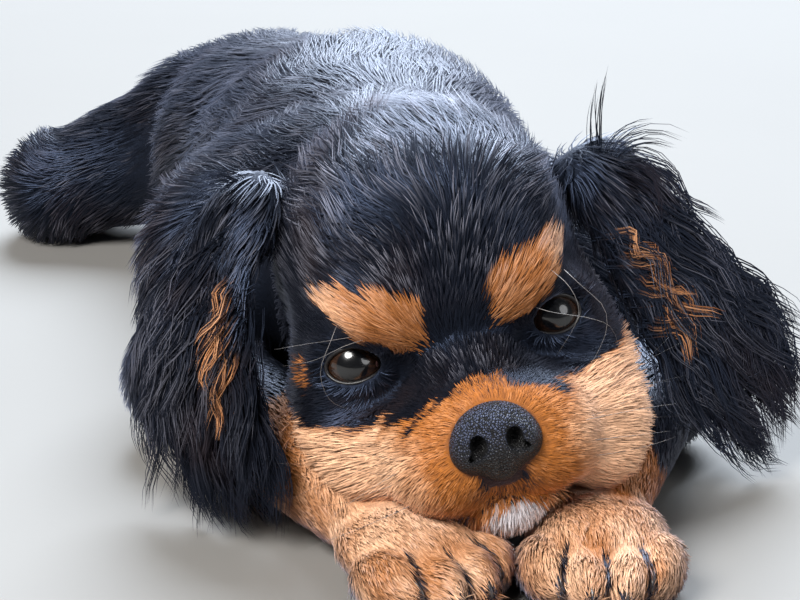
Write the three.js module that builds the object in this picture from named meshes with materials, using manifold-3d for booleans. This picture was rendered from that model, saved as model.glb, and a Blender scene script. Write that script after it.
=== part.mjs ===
// A Cavalier King Charles spaniel puppy, black and tan, about nine weeks old and life size.
// It lies flat on its belly with its chin between its forepaws and its head turned and tilted a
// little. Its ears hang in long wavy locks, and its hind legs lie stretched out behind it.
// Millimetres, +Z up. While the puppy is shaped, x points to its left, y back towards its tail,
// the floor is z = 0 and the point between its eyes is above x = 0, y = 0.
import * as THREE from 'three';
import { mergeVertices } from 'three/addons/utils/BufferGeometryUtils.js';
import Module from 'manifold-3d';

const wasm = await Module();
wasm.setup();

// Driving dimensions
const gap = 0.35; // between neighbouring pieces
const eyeHeight = 50; // floor to the point between the eyes
const headYaw = 10; // degrees, nose towards the puppy's left
const headRoll = -12.5; // degrees, left eye higher than the right
const eyeSpacing = 48; // between the centres of the eyes
const eyeRadius = 8;
const eyeTurn = 0.22; // radians, how far each eye looks outwards
const lidRadius = 1.4;
const lipRadius = 1.5;
const pawScale = 1.14; // forepaw over hind paw
const shortestEdge = 0.25; // closed up after a join or a cut
const lockWidth = 8.5;
const lockThickness = 2.8;

const materials = {
  black: new THREE.MeshStandardMaterial({ color: 0x16171c, roughness: 0.55, metalness: 0 }),
  tan: new THREE.MeshStandardMaterial({ color: 0xb0602a, roughness: 0.75, metalness: 0 }),
  nose: new THREE.MeshStandardMaterial({ color: 0x1a1b20, roughness: 0.4, metalness: 0 }),
  eye: new THREE.MeshStandardMaterial({ color: 0x120a06, roughness: 0.05, metalness: 0 }),
};

const { degToRad, clamp, lerp } = THREE.MathUtils;
const vector = (x, y, z) => new THREE.Vector3(x, y, z);
const curve = (points) => new THREE.CatmullRomCurve3(points.map((p) => vector(...p)));
const pair = ({ at: [x, y, z], size }) => [{ at: [x, y, z], size }, { at: [-x, y, z], size }];
const sides = { right: -1, left: 1 };

/** Repeatable random numbers, so that every build grows the same coat. */
let seed = 4712;
function between(low, high) {
  seed = (seed * 16807) % 2147483647;
  return lerp(low, high, seed / 2147483647);
}

// Fields: a field gives the distance from a point to a form's surface, negative inside it.

/** Ellipsoid about a centre, with its three radii. */
function ellipsoid({ at: [cx, cy, cz], size: [rx, ry, rz] }) {
  return (p) => {
    const [x, y, z] = [(p.x - cx) / rx, (p.y - cy) / ry, (p.z - cz) / rz];
    const unit = Math.hypot(x, y, z);
    return (unit * (unit - 1)) / Math.max(Math.hypot(x / rx, y / ry, z / rz), 1e-6);
  };
}

/** Limb with round ends, whose radius changes evenly from one joint to the next. */
function limb([ax, ay, az], startRadius, [bx, by, bz], endRadius) {
  const bone = vector(bx - ax, by - ay, bz - az);
  const length2 = bone.lengthSq();
  return (p) => {
    const [x, y, z] = [p.x - ax, p.y - ay, p.z - az];
    const t = clamp((x * bone.x + y * bone.y + z * bone.z) / length2, 0, 1);
    const radius = lerp(startRadius, endRadius, t);
    return Math.hypot(x - t * bone.x, y - t * bone.y, z - t * bone.z) - radius;
  };
}

/** Several fields as one, with each meeting filled by a smooth fillet of the given size. */
function blend(fillet, fields) {
  const join = (a, b) => {
    const h = Math.max(fillet - Math.abs(a - b), 0) / fillet;
    return Math.min(a, b) - (h * h * fillet) / 4;
  };
  return (p) => fields.map((field) => field(p)).reduce(join);
}

/** The direction in which a field grows fastest. */
function slope(field, p) {
  const e = 0.5;
  const change = (axis) => field(p.clone().add(axis)) - field(p.clone().sub(axis));
  return vector(change(vector(e, 0, 0)), change(vector(0, e, 0)), change(vector(0, 0, e))).normalize();
}

/** A unit sphere vertex as the share of the way from pole to pole, and the angle round its axis. */
function polar(vertices, i) {
  const t = Math.acos(clamp(vertices.getY(i), -1, 1)) / Math.PI;
  const atPole = t < 1e-4 || t > 1 - 1e-4;
  const angle = atPole ? 0 : Math.atan2(vertices.getZ(i), vertices.getX(i));
  const onSeam = Math.abs(angle) > Math.PI - 1e-4;
  return { t, atPole, angle: onSeam ? Math.PI : angle };
}

/**
 * A closed skin over a field. The rays of a sphere fan out from a spine, backwards at its start,
 * across it in the middle and forwards at its end, and each vertex slides out to the surface.
 */
function wrap(field, spine, rings, around, swell = 0) {
  const step = 2;
  const refinements = 12;
  const geometry = new THREE.SphereGeometry(1, around, rings);
  const vertices = geometry.attributes.position;
  const upwards = vector(0, 0, 1);
  for (let i = 0; i < vertices.count; i++) {
    const { t, angle } = polar(vertices, i);
    const turn = (Math.PI / 2) * (1 + (2 * t - 1) ** 3);
    const back = spine.getTangent(t).negate();
    const side = vector().crossVectors(upwards, back).normalize();
    const rise = vector().crossVectors(side, back);
    const ray = back.multiplyScalar(Math.cos(turn));
    ray.addScaledVector(side, Math.sin(turn) * Math.cos(angle));
    ray.addScaledVector(rise, Math.sin(turn) * Math.sin(angle));
    const origin = spine.getPoint(t);
    const reach = (distance) => field(origin.clone().addScaledVector(ray, distance)) - swell;
    let inside = 0;
    while (reach(inside + step) < 0) inside += step;
    let outside = inside + step;
    for (let n = 0; n < refinements; n++) {
      const middle = (inside + outside) / 2;
      if (reach(middle) < 0) inside = middle;
      else outside = middle;
    }
    origin.addScaledVector(ray, outside);
    vertices.setXYZ(i, origin.x, origin.y, origin.z);
  }
  return geometry;
}

/** A flat or round body bent along a path: t runs from 0 at its root to 1 at its tip. */
function ribbon(path, face, halfWidth, halfThickness, rings, around, cup = 0) {
  const geometry = new THREE.SphereGeometry(1, around, rings);
  const vertices = geometry.attributes.position;
  for (let i = 0; i < vertices.count; i++) {
    const { t, atPole, angle } = polar(vertices, i);
    const open = atPole ? 0 : 1;
    const along = path.getTangent(t);
    const across = vector().crossVectors(face, along).normalize();
    const out = vector().crossVectors(along, across);
    const point = path.getPoint(t);
    const sink = cup * Math.cos(angle) ** 2;
    point.addScaledVector(across, open * Math.cos(angle) * halfWidth(t));
    point.addScaledVector(out, open * (Math.sin(angle) * halfThickness(t) - sink));
    vertices.setXYZ(i, point.x, point.y, point.z);
  }
  return geometry;
}

/** A flat tapered lock of hair, full soon after its root and drawn to a point. */
function lock(path, face, width, thickness) {
  const fullness = (t) => Math.min(1, 0.4 + 2.5 * t) * Math.min(1, 1.8 * (1 - t));
  const half = (size) => (t) => (size / 2) * fullness(t);
  return solid(ribbon(path, face, half(width), half(thickness), 5, 4));
}

/** A closed three.js geometry as a solid. */
function solid(geometry) {
  const bare = new THREE.BufferGeometry().setAttribute('position', geometry.attributes.position);
  bare.setIndex(geometry.index);
  const { attributes, index } = mergeVertices(bare, 1e-3);
  const mesh = new wasm.Mesh({
    numProp: 3,
    vertProperties: new Float32Array(attributes.position.array),
    triVerts: new Uint32Array(index.array),
  });
  mesh.merge();
  return new wasm.Manifold(mesh);
}

/** A ball of the given radii as a geometry, about a centre. */
function ball([x, y, z], [rx, ry, rz], around, rings) {
  return new THREE.SphereGeometry(1, around, rings).scale(rx, ry, rz).translate(x, y, z);
}

const largest = (whole) => whole.decompose().reduce((a, b) => (a.volume() > b.volume() ? a : b));
const join = (solids) => wasm.Manifold.union(solids);
const carve = (whole, cutters) => largest(whole.subtract(join(cutters)));

/** Everything below the floor, which flattens whatever rests on it. */
function makeUnderfloor() {
  const depth = 60;
  return solid(new THREE.BoxGeometry(900, 900, depth).translate(0, 0, -depth / 2));
}
const underfloor = makeUnderfloor();

// Head, in its own frame: the origin between the eyes, x to its left, y back, z up.
const headPose = new THREE.Matrix4()
  .makeTranslation(0, 0, eyeHeight)
  .multiply(new THREE.Matrix4().makeRotationZ(degToRad(headYaw)))
  .multiply(new THREE.Matrix4().makeRotationY(degToRad(headRoll)));
const headInverse = headPose.clone().invert();
const onHead = (geometry) => solid(geometry.applyMatrix4(headPose));

const skullForms = [
  { at: [0, 27, 12], size: [37, 42, 37] }, // cranium
  { at: [0, 4, 22], size: [27, 17, 20] }, // forehead
  ...pair({ at: [15, -6, 12], size: [9, 7, 6] }), // brows
  ...pair({ at: [26, 14, -12], size: [15, 24, 20] }), // cheekbones
  { at: [0, -18, -13], size: [19, 21, 12] }, // muzzle
  ...pair({ at: [11, -25, -18], size: [12.5, 14.5, 11.5] }), // cushions of the upper lip
  ...pair({ at: [24, -4, -20], size: [14.5, 20, 13] }), // jowls
  { at: [24, -12, -27], size: [12.5, 17, 10.5] }, // left jowl, pushed down over the paw
];
const bridge = limb([0, -8, -6], 9, [0, -30, -10], 8.5);
const skull = blend(6, [...skullForms.map(ellipsoid), bridge]);
const skullSpine = curve([[0, 44, 12], [0, 20, 4], [0, -4, -6], [0, -24, -14]]);
const jawForms = [
  { at: [0, -19, -29], size: [13.5, 17, 9.5] }, // chin
  { at: [0, 12, -24], size: [24, 24, 13] }, // throat
];
const jawField = blend(8, jawForms.map(ellipsoid));
const jawSpine = curve([[0, 22, -24], [0, 6, -26], [0, -20, -29]]);

const makeSkull = (rings, around, swell) => onHead(wrap(skull, skullSpine, rings, around, swell));
const makeJaw = (rings, around, swell) => onHead(wrap(jawField, jawSpine, rings, around, swell));

/** Room around the head, coarse and so wider at its corners. */
const headRoom = makeSkull(24, 22, gap + 1.2);
const jawRoom = makeJaw(12, 16, gap);

const eyeCentre = (side) => [(side * eyeSpacing) / 2, 0, 0];

/** The rim of an eye's almond opening, on a sphere about the eye. */
function rimOfEye(side, radius) {
  const [across, above, below] = [0.95, 0.7, 0.64];
  const points = [];
  for (let i = 0; i < 16; i++) {
    const angle = (i / 16) * 2 * Math.PI;
    const rise = Math.sin(angle);
    const pitch = (rise > 0 ? above : below) * Math.sign(rise) * Math.abs(rise) ** 1.15;
    const yaw = side * (across * Math.cos(angle) + eyeTurn);
    const look = vector(Math.sin(yaw) * Math.cos(pitch), -Math.cos(yaw) * Math.cos(pitch), Math.sin(pitch));
    points.push(vector(...eyeCentre(side)).addScaledVector(look, radius));
  }
  return new THREE.CatmullRomCurve3(points, true);
}

function makeLid(side) {
  return onHead(new THREE.TubeGeometry(rimOfEye(side, eyeRadius + 0.5), 16, lidRadius, 5, true));
}

/** The flesh round an eye, from which the lids' opening is cut. */
const makeOrbit = (side) => onHead(ball(eyeCentre(side), [10.4, 8.9, 9.8], 12, 8));
function makeEyeWindow(side) {
  const almond = ball([0, -8.5, 0], [6.2, 6, 4.6], 12, 7).rotateZ(side * eyeTurn);
  return onHead(almond.translate(...eyeCentre(side)));
}

/** A point of the line where the upper lips meet the jaw, at an angle round from the front. */
function lipPoint(angle) {
  const heart = vector(0, -6, 0);
  const ray = vector(Math.sin(angle), -Math.cos(angle), 0);
  const reach = (field, z) => {
    let [inside, outside] = [0, 60];
    for (let n = 0; n < 24; n++) {
      const middle = (inside + outside) / 2;
      if (field(heart.clone().addScaledVector(ray, middle).setZ(z)) < 0) inside = middle;
      else outside = middle;
    }
    return inside;
  };
  let [low, high] = [-36, -18];
  for (let n = 0; n < 20; n++) {
    const middle = (low + high) / 2;
    if (reach(skull, middle) > reach(jawField, middle)) high = middle;
    else low = middle;
  }
  return heart.addScaledVector(ray, reach(skull, high)).setZ(high);
}

/** The dark edge of the upper lips, a round bead along the line of the mouth. */
function makeLips(swell) {
  const points = [];
  for (let angle = -95; angle <= 95; angle += 10) points.push(lipPoint(degToRad(angle)));
  const round = (t) => swell + lipRadius * Math.sin(Math.PI * clamp(t, 0.08, 0.92));
  return onHead(ribbon(new THREE.CatmullRomCurve3(points), vector(0, 0, 1), round, round, 20, 5));
}

/** Room close around the face, for what touches it. */
const faceRoom = join([makeSkull(32, 30, gap), makeLips(gap)]);

const noseCentre = [0, -36.5, -10.5];
const noseSize = [10, 6.8, 8.6];
/** The groove that runs from the nose down to the lips. */
function makePhiltrum() {
  const path = curve([[0, -41.5, -15], [0, -41.3, -20], [0, -38.5, -27], [0, -33, -31]]);
  const round = (t) => 1.1 * Math.sin(Math.PI * clamp(t, 0.15, 0.85));
  return onHead(ribbon(path, vector(0, -1, 0), round, round, 8, 5));
}

function makeHead() {
  const both = Object.values(sides);
  const added = [makeSkull(32, 30, 0), makeLips(0), ...both.map(makeOrbit), ...both.map(makeLid)];
  const socket = (side) => onHead(ball(eyeCentre(side), Array(3).fill(eyeRadius + gap), 12, 8));
  const cutters = [makePhiltrum(), ...both.map(makeEyeWindow), ...both.map(socket)];
  return carve(join(added), cutters);
}

// Torso, from the chest to the rump, lying flat on the floor.
const torsoForms = [
  { at: [-22, 108, 40], size: [50, 48, 43] }, // chest
  { at: [-27, 152, 40], size: [52, 54, 47] }, // ribs
  { at: [-48, 200, 35], size: [46, 48, 40] }, // loin
  { at: [-62, 236, 32], size: [36, 34, 35] }, // pelvis
  { at: [-56, 92, 38], size: [26, 30, 30] }, // right shoulder
  { at: [16, 88, 38], size: [24, 30, 30] }, // left shoulder
];
const torsoField = blend(14, torsoForms.map(ellipsoid));
const torsoSpine = curve([[-20, 92, 38], [-28, 130, 38], [-40, 175, 38], [-54, 215, 34], [-62, 245, 32]]);
const makeTorso = (rings, around, swell) => solid(wrap(torsoField, torsoSpine, rings, around, swell));
const torsoRoom = makeTorso(19, 22, gap);

// Neck, between the back of the head and the shoulders.
const nape = limb([-6, 30, 52], 30, [-20, 84, 46], 40);
const throat = ellipsoid({ at: [-4, 56, 30], size: [34, 34, 26] });
const neckField = blend(12, [nape, throat]);
const neckSpine = curve([[-6, 36, 46], [-12, 58, 42], [-18, 84, 42]]);
const makeNeck = (rings, around, swell) => solid(wrap(neckField, neckSpine, rings, around, swell));
const neckRoom = makeNeck(11, 18, gap);

// Forelegs: an upper arm along the chest and a forearm lying forward on the floor.
const forelegJoints = {
  right: { shoulder: [-60, 84, 40], elbow: [-68, 62, 18], wrist: [-20, -13, 12.5] },
  left: { shoulder: [16, 82, 40], elbow: [48, 58, 17], wrist: [33, -7, 12.5] },
};
const forelegFields = ({ shoulder, elbow, wrist }) => [
  { field: limb(shoulder, 24, elbow, 18), ends: [shoulder, elbow] },
  { field: limb(elbow, 17.5, wrist, 13), ends: [elbow, wrist] },
];

// Hind legs: the thigh out to the side, the shank back, and the foot behind with its sole up.
const hindJoints = {
  right: { hip: [-82, 236, 30], knee: [-126, 232, 16.5], hock: [-113, 284, 12.5] },
  left: { hip: [-42, 240, 30], knee: [4, 242, 16.5], hock: [-8, 294, 12.5] },
};
const hindlegFields = ({ hip, knee, hock }) => [
  { field: limb(hip, 28, knee, 18), ends: [hip, knee] },
  { field: limb(knee, 17.5, hock, 12.5), ends: [knee, hock] },
];

function makeLeg(pieces, rings, around, swell) {
  return join(pieces.map(({ field, ends }) => solid(wrap(field, curve(ends), rings, around, swell))));
}

// Paws, in their own frame: the wrist at the origin, the toes ahead along -y, the sole at z = 0.
const toes = [
  { at: [-11.2, -24], turn: 13 },
  { at: [-4, -29.5], turn: 4 },
  { at: [4, -29.5], turn: -4 },
  { at: [11.2, -24], turn: -13 },
];
const toeSize = [5.5, 9.5, 7.2];
const palmSize = [14.5, 17.5, 9.5];
const atToe = (geometry, { at: [x, y], turn }) => solid(geometry.rotateZ(degToRad(turn)).translate(x, y, 0));

function makePaw(padded) {
  const pieces = [solid(ball([0, -13, 9], palmSize, 12, 8))];
  for (const toe of toes) {
    pieces.push(atToe(ball([0, 0, 7.2], toeSize, 8, 6), toe));
    const claw = new THREE.ConeGeometry(1.5, 7, 4).rotateX(0.62 * Math.PI);
    pieces.push(atToe(claw.translate(0, -10.5, 5.2), toe));
    if (padded) pieces.push(atToe(ball([0, -2, 2], [3.8, 5, 3.6], 6, 3), toe));
  }
  if (padded) pieces.push(solid(ball([0, -13, 2.5], [8.5, 7, 4.6], 8, 5)));
  return join(pieces);
}

/** A solid set down at a place, turned to a heading and rolled about the way it points. */
function placed(whole, { at, heading, roll = 0, size = 1 }) {
  const pose = new THREE.Matrix4().makeTranslation(...at);
  pose.multiply(new THREE.Matrix4().makeRotationZ(degToRad(heading)));
  pose.multiply(new THREE.Matrix4().makeRotationY(degToRad(roll)));
  pose.scale(vector(size, size, size));
  return whole.transform(pose.elements);
}
const forepawPlaces = {
  right: { at: [-19, -14, 0], heading: 32, size: pawScale },
  left: { at: [32, -8, 0], heading: 3, size: pawScale },
};
const hindpawPlaces = {
  right: { at: [-113, 283, 18], heading: 174, roll: 180 },
  left: { at: [-8, 293, 18], heading: 186, roll: 180 },
};

/** The gap that a paw needs around it, from one a little larger. */
const roomAround = (paw, place) => placed(paw, { ...place, size: place.size * 1.025 });

// The pieces, each carved clear of those before it.
const head = makeHead();
const lowerJaw = carve(makeJaw(12, 16, 0), [faceRoom]);
const torso = carve(makeTorso(19, 22, 0), [underfloor, headRoom]);
const neck = carve(makeNeck(11, 18, 0), [underfloor, headRoom, jawRoom, torsoRoom]);
const forelegs = {};
const forelegRooms = {};
const forepaws = {};
const hindlegs = {};
const hindlegRooms = {};
const hindpaws = {};
const bodyRooms = [underfloor, headRoom, jawRoom, torsoRoom, neckRoom];
for (const side of Object.keys(sides)) {
  const fore = forelegFields(forelegJoints[side]);
  forelegs[side] = carve(makeLeg(fore, 9, 12, 0), [...bodyRooms, faceRoom]);
  forelegRooms[side] = makeLeg(fore, 9, 12, gap);
  const forepaw = placed(makePaw(false), forepawPlaces[side]);
  forepaws[side] = carve(forepaw, [underfloor, forelegRooms[side], faceRoom, jawRoom]);
  const hind = hindlegFields(hindJoints[side]);
  hindlegs[side] = carve(makeLeg(hind, 9, 12, 0), [underfloor, torsoRoom]);
  hindlegRooms[side] = makeLeg(hind, 9, 12, gap);
  hindpaws[side] = carve(placed(makePaw(true), hindpawPlaces[side]), [underfloor, hindlegRooms[side]]);
}
forepaws.left = carve(forepaws.left, [roomAround(makePaw(false), forepawPlaces.right)]);

// The long coat. Locks start inside what carries them and stay clear of the rest of the body.
const onSkull = (p) => skull(p.clone().applyMatrix4(headInverse));
const onJaw = (p) => jawField(p.clone().applyMatrix4(headInverse));
const legFields = [...Object.values(forelegJoints).flatMap(forelegFields), ...Object.values(hindJoints).flatMap(hindlegFields)];
const obstacles = [onSkull, onJaw, torsoField, neckField, ...legFields.map(({ field }) => field)];

function keepClear(point, distance) {
  for (const field of obstacles) {
    const short = distance - field(point);
    if (short > 0) point.addScaledVector(slope(field, point), short);
  }
  point.z = Math.max(point.z, distance);
  return point;
}

/** The way a lock grows from a root: it starts one way, sinks under its weight, and waves. */
function growth(root, start, length, { sink, wave, waveAxis, phase, clearance }) {
  const steps = 5;
  const heading = start.clone().normalize();
  const point = root.clone();
  const points = [root.clone()];
  for (let i = 1; i <= steps; i++) {
    heading.z -= sink / steps;
    heading.normalize();
    point.addScaledVector(heading, length / steps);
    const swing = wave * Math.sin(phase + (i / steps) * 1.4 * Math.PI);
    points.push(keepClear(point.clone().addScaledVector(waveAxis, swing), clearance));
  }
  return new THREE.CatmullRomCurve3(points);
}

// Ears: the hump where each rises from the skull, the cupped leather that falls from it, its locks.
const earFalls = {
  right: curve([[-49, 26, 78], [-54.5, 23, 70], [-59, 18, 58], [-60.5, 13, 46], [-59, 8, 36], [-56, 5, 28]]),
  left: curve([[33, 34, 83], [40, 33.5, 74], [48, 34, 61], [56, 36, 49], [64, 39, 39.5], [70, 42, 32]]),
};
const earHumps = {
  right: { at: [-47, 27, 73.5], size: [9, 7, 8] },
  left: { at: [30, 34, 79], size: [9, 7, 8] },
};
const earFaces = { right: vector(-0.74, -0.6, 0.3), left: vector(0.52, -0.74, 0.42) };
const earRows = [0.1, 0.32, 0.54, 0.75, 0.93];
const earFan = [-0.9, -0.3, 0.3, 0.9];
const earCup = 3;
const leatherWidth = (t) => 7 + 10 * Math.sin(Math.PI * clamp(0.1 + 0.75 * t, 0, 1));
const leatherThickness = () => 3;
const wisps = {
  right: [
    { lean: -22, length: 14, curl: -40 },
    { lean: -44, length: 17, curl: -50 },
    { lean: -64, length: 17, curl: -40 },
  ],
  left: [
    { lean: -3, length: 25, curl: 6 },
    { lean: 16, length: 20, curl: 34 },
    { lean: 34, length: 21, curl: 30 },
    { lean: 52, length: 18, curl: 52 },
    { lean: 66, length: 20, curl: 60 },
  ],
};

/** The frame of the ear's leather at t: along its fall, across it, and out of its face. */
function earFrame(side, t) {
  const along = earFalls[side].getTangent(t);
  const across = vector().crossVectors(earFaces[side], along).normalize();
  return { at: earFalls[side].getPoint(t), along, across, out: vector().crossVectors(along, across) };
}

function earLock(side, t, u, outward) {
  const { at, along, across, out } = earFrame(side, t);
  const root = at.addScaledVector(across, u * 0.8 * leatherWidth(t));
  root.addScaledVector(out, outward * 0.8 - earCup * u * u).addScaledVector(along, -3);
  const start = along.clone().addScaledVector(across, u * between(0.3, 0.6));
  start.addScaledVector(out, outward * between(0.15, 0.3));
  const width = lockWidth * between(0.8, 1.15);
  const length = between(20, 26) + 5 * t;
  const way = { sink: between(0.3, 0.7), wave: between(1, 2), waveAxis: across, phase: between(0, 6), clearance: 2 };
  return lock(growth(root, start, length, way), out, width, lockThickness);
}

function earWisp(side, { lean, length, curl }) {
  const root = earFalls[side].getPoint(0.04);
  const points = [];
  for (let i = 0; i <= 5; i++) {
    const s = i / 5;
    const angle = degToRad(lean + curl * s * s);
    points.push(root.clone().add(vector(Math.sin(angle), -0.12 * s, Math.cos(angle)).multiplyScalar(length * s)));
  }
  return lock(new THREE.CatmullRomCurve3(points), vector(0, -1, 0), 3.4, 2);
}

function makeEar(side) {
  const leather = solid(ribbon(earFalls[side], earFaces[side], leatherWidth, leatherThickness, 10, 12, earCup));
  const hump = solid(ball(earHumps[side].at, earHumps[side].size, 10, 7));
  const pieces = [leather, hump, ...wisps[side].map((wisp) => earWisp(side, wisp))];
  for (const t of earRows) {
    for (const u of earFan) pieces.push(earLock(side, t + between(-0.04, 0.04), u + between(-0.1, 0.1), 1));
    pieces.push(earLock(side, t, between(-0.6, 0.6), -1));
  }
  return carve(join(pieces), [...bodyRooms, forelegRooms[side]]);
}

// Tail, out behind between the hind feet, feathered along both sides.
const tailBones = [[-66, 262, 31], [-71, 300, 16], [-65, 340, 7]];
const tailField = blend(6, [limb(tailBones[0], 13, tailBones[1], 10), limb(tailBones[1], 10, tailBones[2], 6)]);
const tailSpine = curve(tailBones);

function makeTail() {
  const pieces = [solid(wrap(tailField, tailSpine, 12, 12))];
  for (let t = 0.25; t <= 1; t += 0.15) {
    for (const side of [-1, 0, 1]) {
      const along = tailSpine.getTangent(t);
      const across = vector().crossVectors(vector(0, 0, 1), along).normalize();
      const root = tailSpine.getPoint(t).addScaledVector(across, 2.5 * side).addScaledVector(along, -4);
      if (side === 0) root.z += 2;
      const start = along.clone().addScaledVector(across, 0.55 * side);
      const way = { sink: 0.1, wave: 1.2, waveAxis: across, phase: between(0, 6), clearance: 1.8 };
      pieces.push(lock(growth(root, start, between(19, 24), way), vector(0, 0, 1), 7.5, 3));
    }
  }
  return carve(join(pieces), [underfloor, torsoRoom, ...Object.values(hindlegRooms)]);
}

// Nose leather, with its nostrils, which open a little to the sides.
function makeNose() {
  const holes = Object.values(sides).map((side) => {
    const nostril = ball([0, 0, 0], [3.2, 4, 2.2], 9, 6).rotateY(side * 0.35);
    return onHead(nostril.translate(side * 5, noseCentre[1] - 5.5, noseCentre[2] - 1));
  });
  return carve(onHead(ball(noseCentre, noseSize, 14, 10)), [faceRoom, ...holes]);
}

/** A solid's corners and faces, with the edges closed up that joins and cuts left too short. */
function weld(whole) {
  const { numProp, vertProperties, triVerts } = whole.getMesh();
  const corners = [];
  for (let i = 0; i < vertProperties.length; i += numProp) {
    corners.push(vector(...vertProperties.subarray(i, i + 3)));
  }
  const facesAt = corners.map(() => new Set());
  for (let i = 0; i < triVerts.length; i += 3) {
    const face = [...triVerts.subarray(i, i + 3)];
    face.forEach((corner) => facesAt[corner].add(face));
  }
  const ring = (corner) => {
    const around = new Set([...facesAt[corner]].flat());
    around.delete(corner);
    return around;
  };
  const normal = (face) => {
    const [a, b, c] = face.map((corner) => corners[corner]);
    return vector().crossVectors(b.clone().sub(a), c.clone().sub(a));
  };
  const flips = (face, drop, keep) => {
    const before = normal(face);
    const after = normal(face.map((corner) => (corner === drop ? keep : corner)));
    return before.length() > 1e-3 && before.dot(after) < 0.3 * before.length() * after.length();
  };
  const close = (drop, keep) => {
    const others = ring(drop);
    const shared = [...ring(keep)].filter((corner) => others.has(corner));
    const moved = [...facesAt[drop]].filter((face) => !face.includes(keep));
    if (shared.length !== 2 || moved.some((face) => flips(face, drop, keep))) return;
    for (const face of facesAt[drop]) {
      if (!face.includes(keep)) continue;
      face.forEach((corner) => corner !== drop && facesAt[corner].delete(face));
    }
    for (const face of moved) {
      face[face.indexOf(drop)] = keep;
      facesAt[keep].add(face);
    }
    facesAt[drop].clear();
  };
  for (let keep = 0; keep < corners.length; keep++) {
    for (const drop of ring(keep)) {
      const isShort = corners[keep].distanceTo(corners[drop]) < shortestEdge;
      if (isShort && facesAt[drop].size > 0 && facesAt[keep].size > 0) close(drop, keep);
    }
  }
  return { corners, faces: [...new Set(facesAt.flatMap((faces) => [...faces]))] };
}

const puppy = new THREE.Group();

/** Adds a solid to the puppy as a mesh about its own middle. */
function add(name, whole, material) {
  const { corners, faces } = weld(whole);
  const geometry = new THREE.BufferGeometry().setFromPoints(corners);
  geometry.setIndex(faces.flat());
  geometry.computeBoundingBox();
  const middle = geometry.boundingBox.getCenter(vector());
  geometry.translate(-middle.x, -middle.y, -middle.z);
  const mesh = new THREE.Mesh(geometry, material);
  mesh.name = name;
  mesh.position.copy(middle);
  puppy.add(mesh);
}

add('head', head, materials.black);
add('lower_jaw', lowerJaw, materials.tan);
add('nose', makeNose(), materials.nose);
add('neck', neck, materials.black);
add('torso', torso, materials.black);
add('tail', makeTail(), materials.black);
for (const [side, sign] of Object.entries(sides)) {
  add(`eye_${side}`, onHead(ball(eyeCentre(sign), Array(3).fill(eyeRadius), 12, 7)), materials.eye);
  add(`ear_${side}`, makeEar(side), materials.black);
  add(`foreleg_${side}`, forelegs[side], materials.tan);
  add(`forepaw_${side}`, forepaws[side], materials.tan);
  add(`hindleg_${side}`, hindlegs[side], materials.black);
  add(`hindpaw_${side}`, hindpaws[side], materials.tan);
}

// The part's frame: the origin at the middle of its bounding box, on the floor.
const box = new THREE.Box3().setFromObject(puppy);
const middle = box.getCenter(vector());
puppy.position.set(-middle.x, -middle.y, -box.min.z);

export default puppy;
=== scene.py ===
"""A black and tan Cavalier King Charles spaniel puppy, life size, lying flat with its chin on its paws.

The puppy is shaped in its own frame, in millimetres: x points to its left, y back towards its tail,
the floor is z = 0 and the point between its eyes is above x = 0, y = 0. Bench sets every mesh
down in the part's frame, in metres.
"""

import logging
import math
from dataclasses import dataclass, field, fields
from enum import Enum
from itertools import product
from typing import Callable, Iterable, Sequence

import bpy
import numpy as np
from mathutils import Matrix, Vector
from mathutils.kdtree import KDTree

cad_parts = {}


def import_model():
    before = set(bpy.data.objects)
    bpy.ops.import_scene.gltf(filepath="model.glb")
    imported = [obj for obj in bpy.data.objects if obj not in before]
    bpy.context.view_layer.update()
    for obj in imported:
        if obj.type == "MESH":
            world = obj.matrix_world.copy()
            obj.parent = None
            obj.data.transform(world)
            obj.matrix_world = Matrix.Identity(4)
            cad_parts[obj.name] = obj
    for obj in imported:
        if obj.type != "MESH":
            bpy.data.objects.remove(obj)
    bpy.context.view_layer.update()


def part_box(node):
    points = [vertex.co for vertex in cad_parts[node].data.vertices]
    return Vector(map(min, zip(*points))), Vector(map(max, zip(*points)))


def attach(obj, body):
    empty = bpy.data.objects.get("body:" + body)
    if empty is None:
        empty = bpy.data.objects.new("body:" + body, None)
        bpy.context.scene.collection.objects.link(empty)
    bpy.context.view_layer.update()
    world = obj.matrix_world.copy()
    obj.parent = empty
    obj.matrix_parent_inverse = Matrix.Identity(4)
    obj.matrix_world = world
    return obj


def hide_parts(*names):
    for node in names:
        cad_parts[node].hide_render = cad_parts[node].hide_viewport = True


log = logging.getLogger("puppy")

Points = np.ndarray
Values = np.ndarray
Vec = tuple[float, float, float]
Form = Callable[[Points], Values]
Span = tuple[float, float, float]  # start, stop and pace of some grid lines
Colour = tuple[float, float, float, float]
Range = tuple[float, float]  # least and most
Socket = bpy.types.NodeSocket
Random = np.random.Generator

MILLIMETRE = 0.001
EYE_HEIGHT = 50.0  # floor to the point between the eyes
FLOOR_GAP = 0.35  # the skin and the coat stay this far above the floor
TRIANGLE_LIMIT = 190_000  # in one piece of the coat
BATCH = 50_000  # points worked out at a time
FAR = 20.0  # stands for any long way from a surface
UP = np.array([0.0, 0.0, 1.0])
ACROSS = np.array([1.0, 0.0, 0.0])


class Side(Enum):
    """The puppy's own right and left."""

    RIGHT = -1
    LEFT = 1

    @property
    def word(self) -> str:
        """The side's name as pieces use it."""
        return self.name.lower()


class Slot(Enum):
    """The record's material slots."""

    BLACK = "coat_black"
    TAN = "coat_tan"
    NOSE = "nose_leather"
    EYE = "eye"


# Small sums on arrays


def lengths(v: Points) -> Values:
    """Length of each vector."""
    return np.sqrt(np.einsum("...i,...i->...", v, v))


def unit(v: Points) -> Points:
    """Each vector at length one."""
    return v / np.maximum(lengths(v), 1e-9)[..., None]


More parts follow.
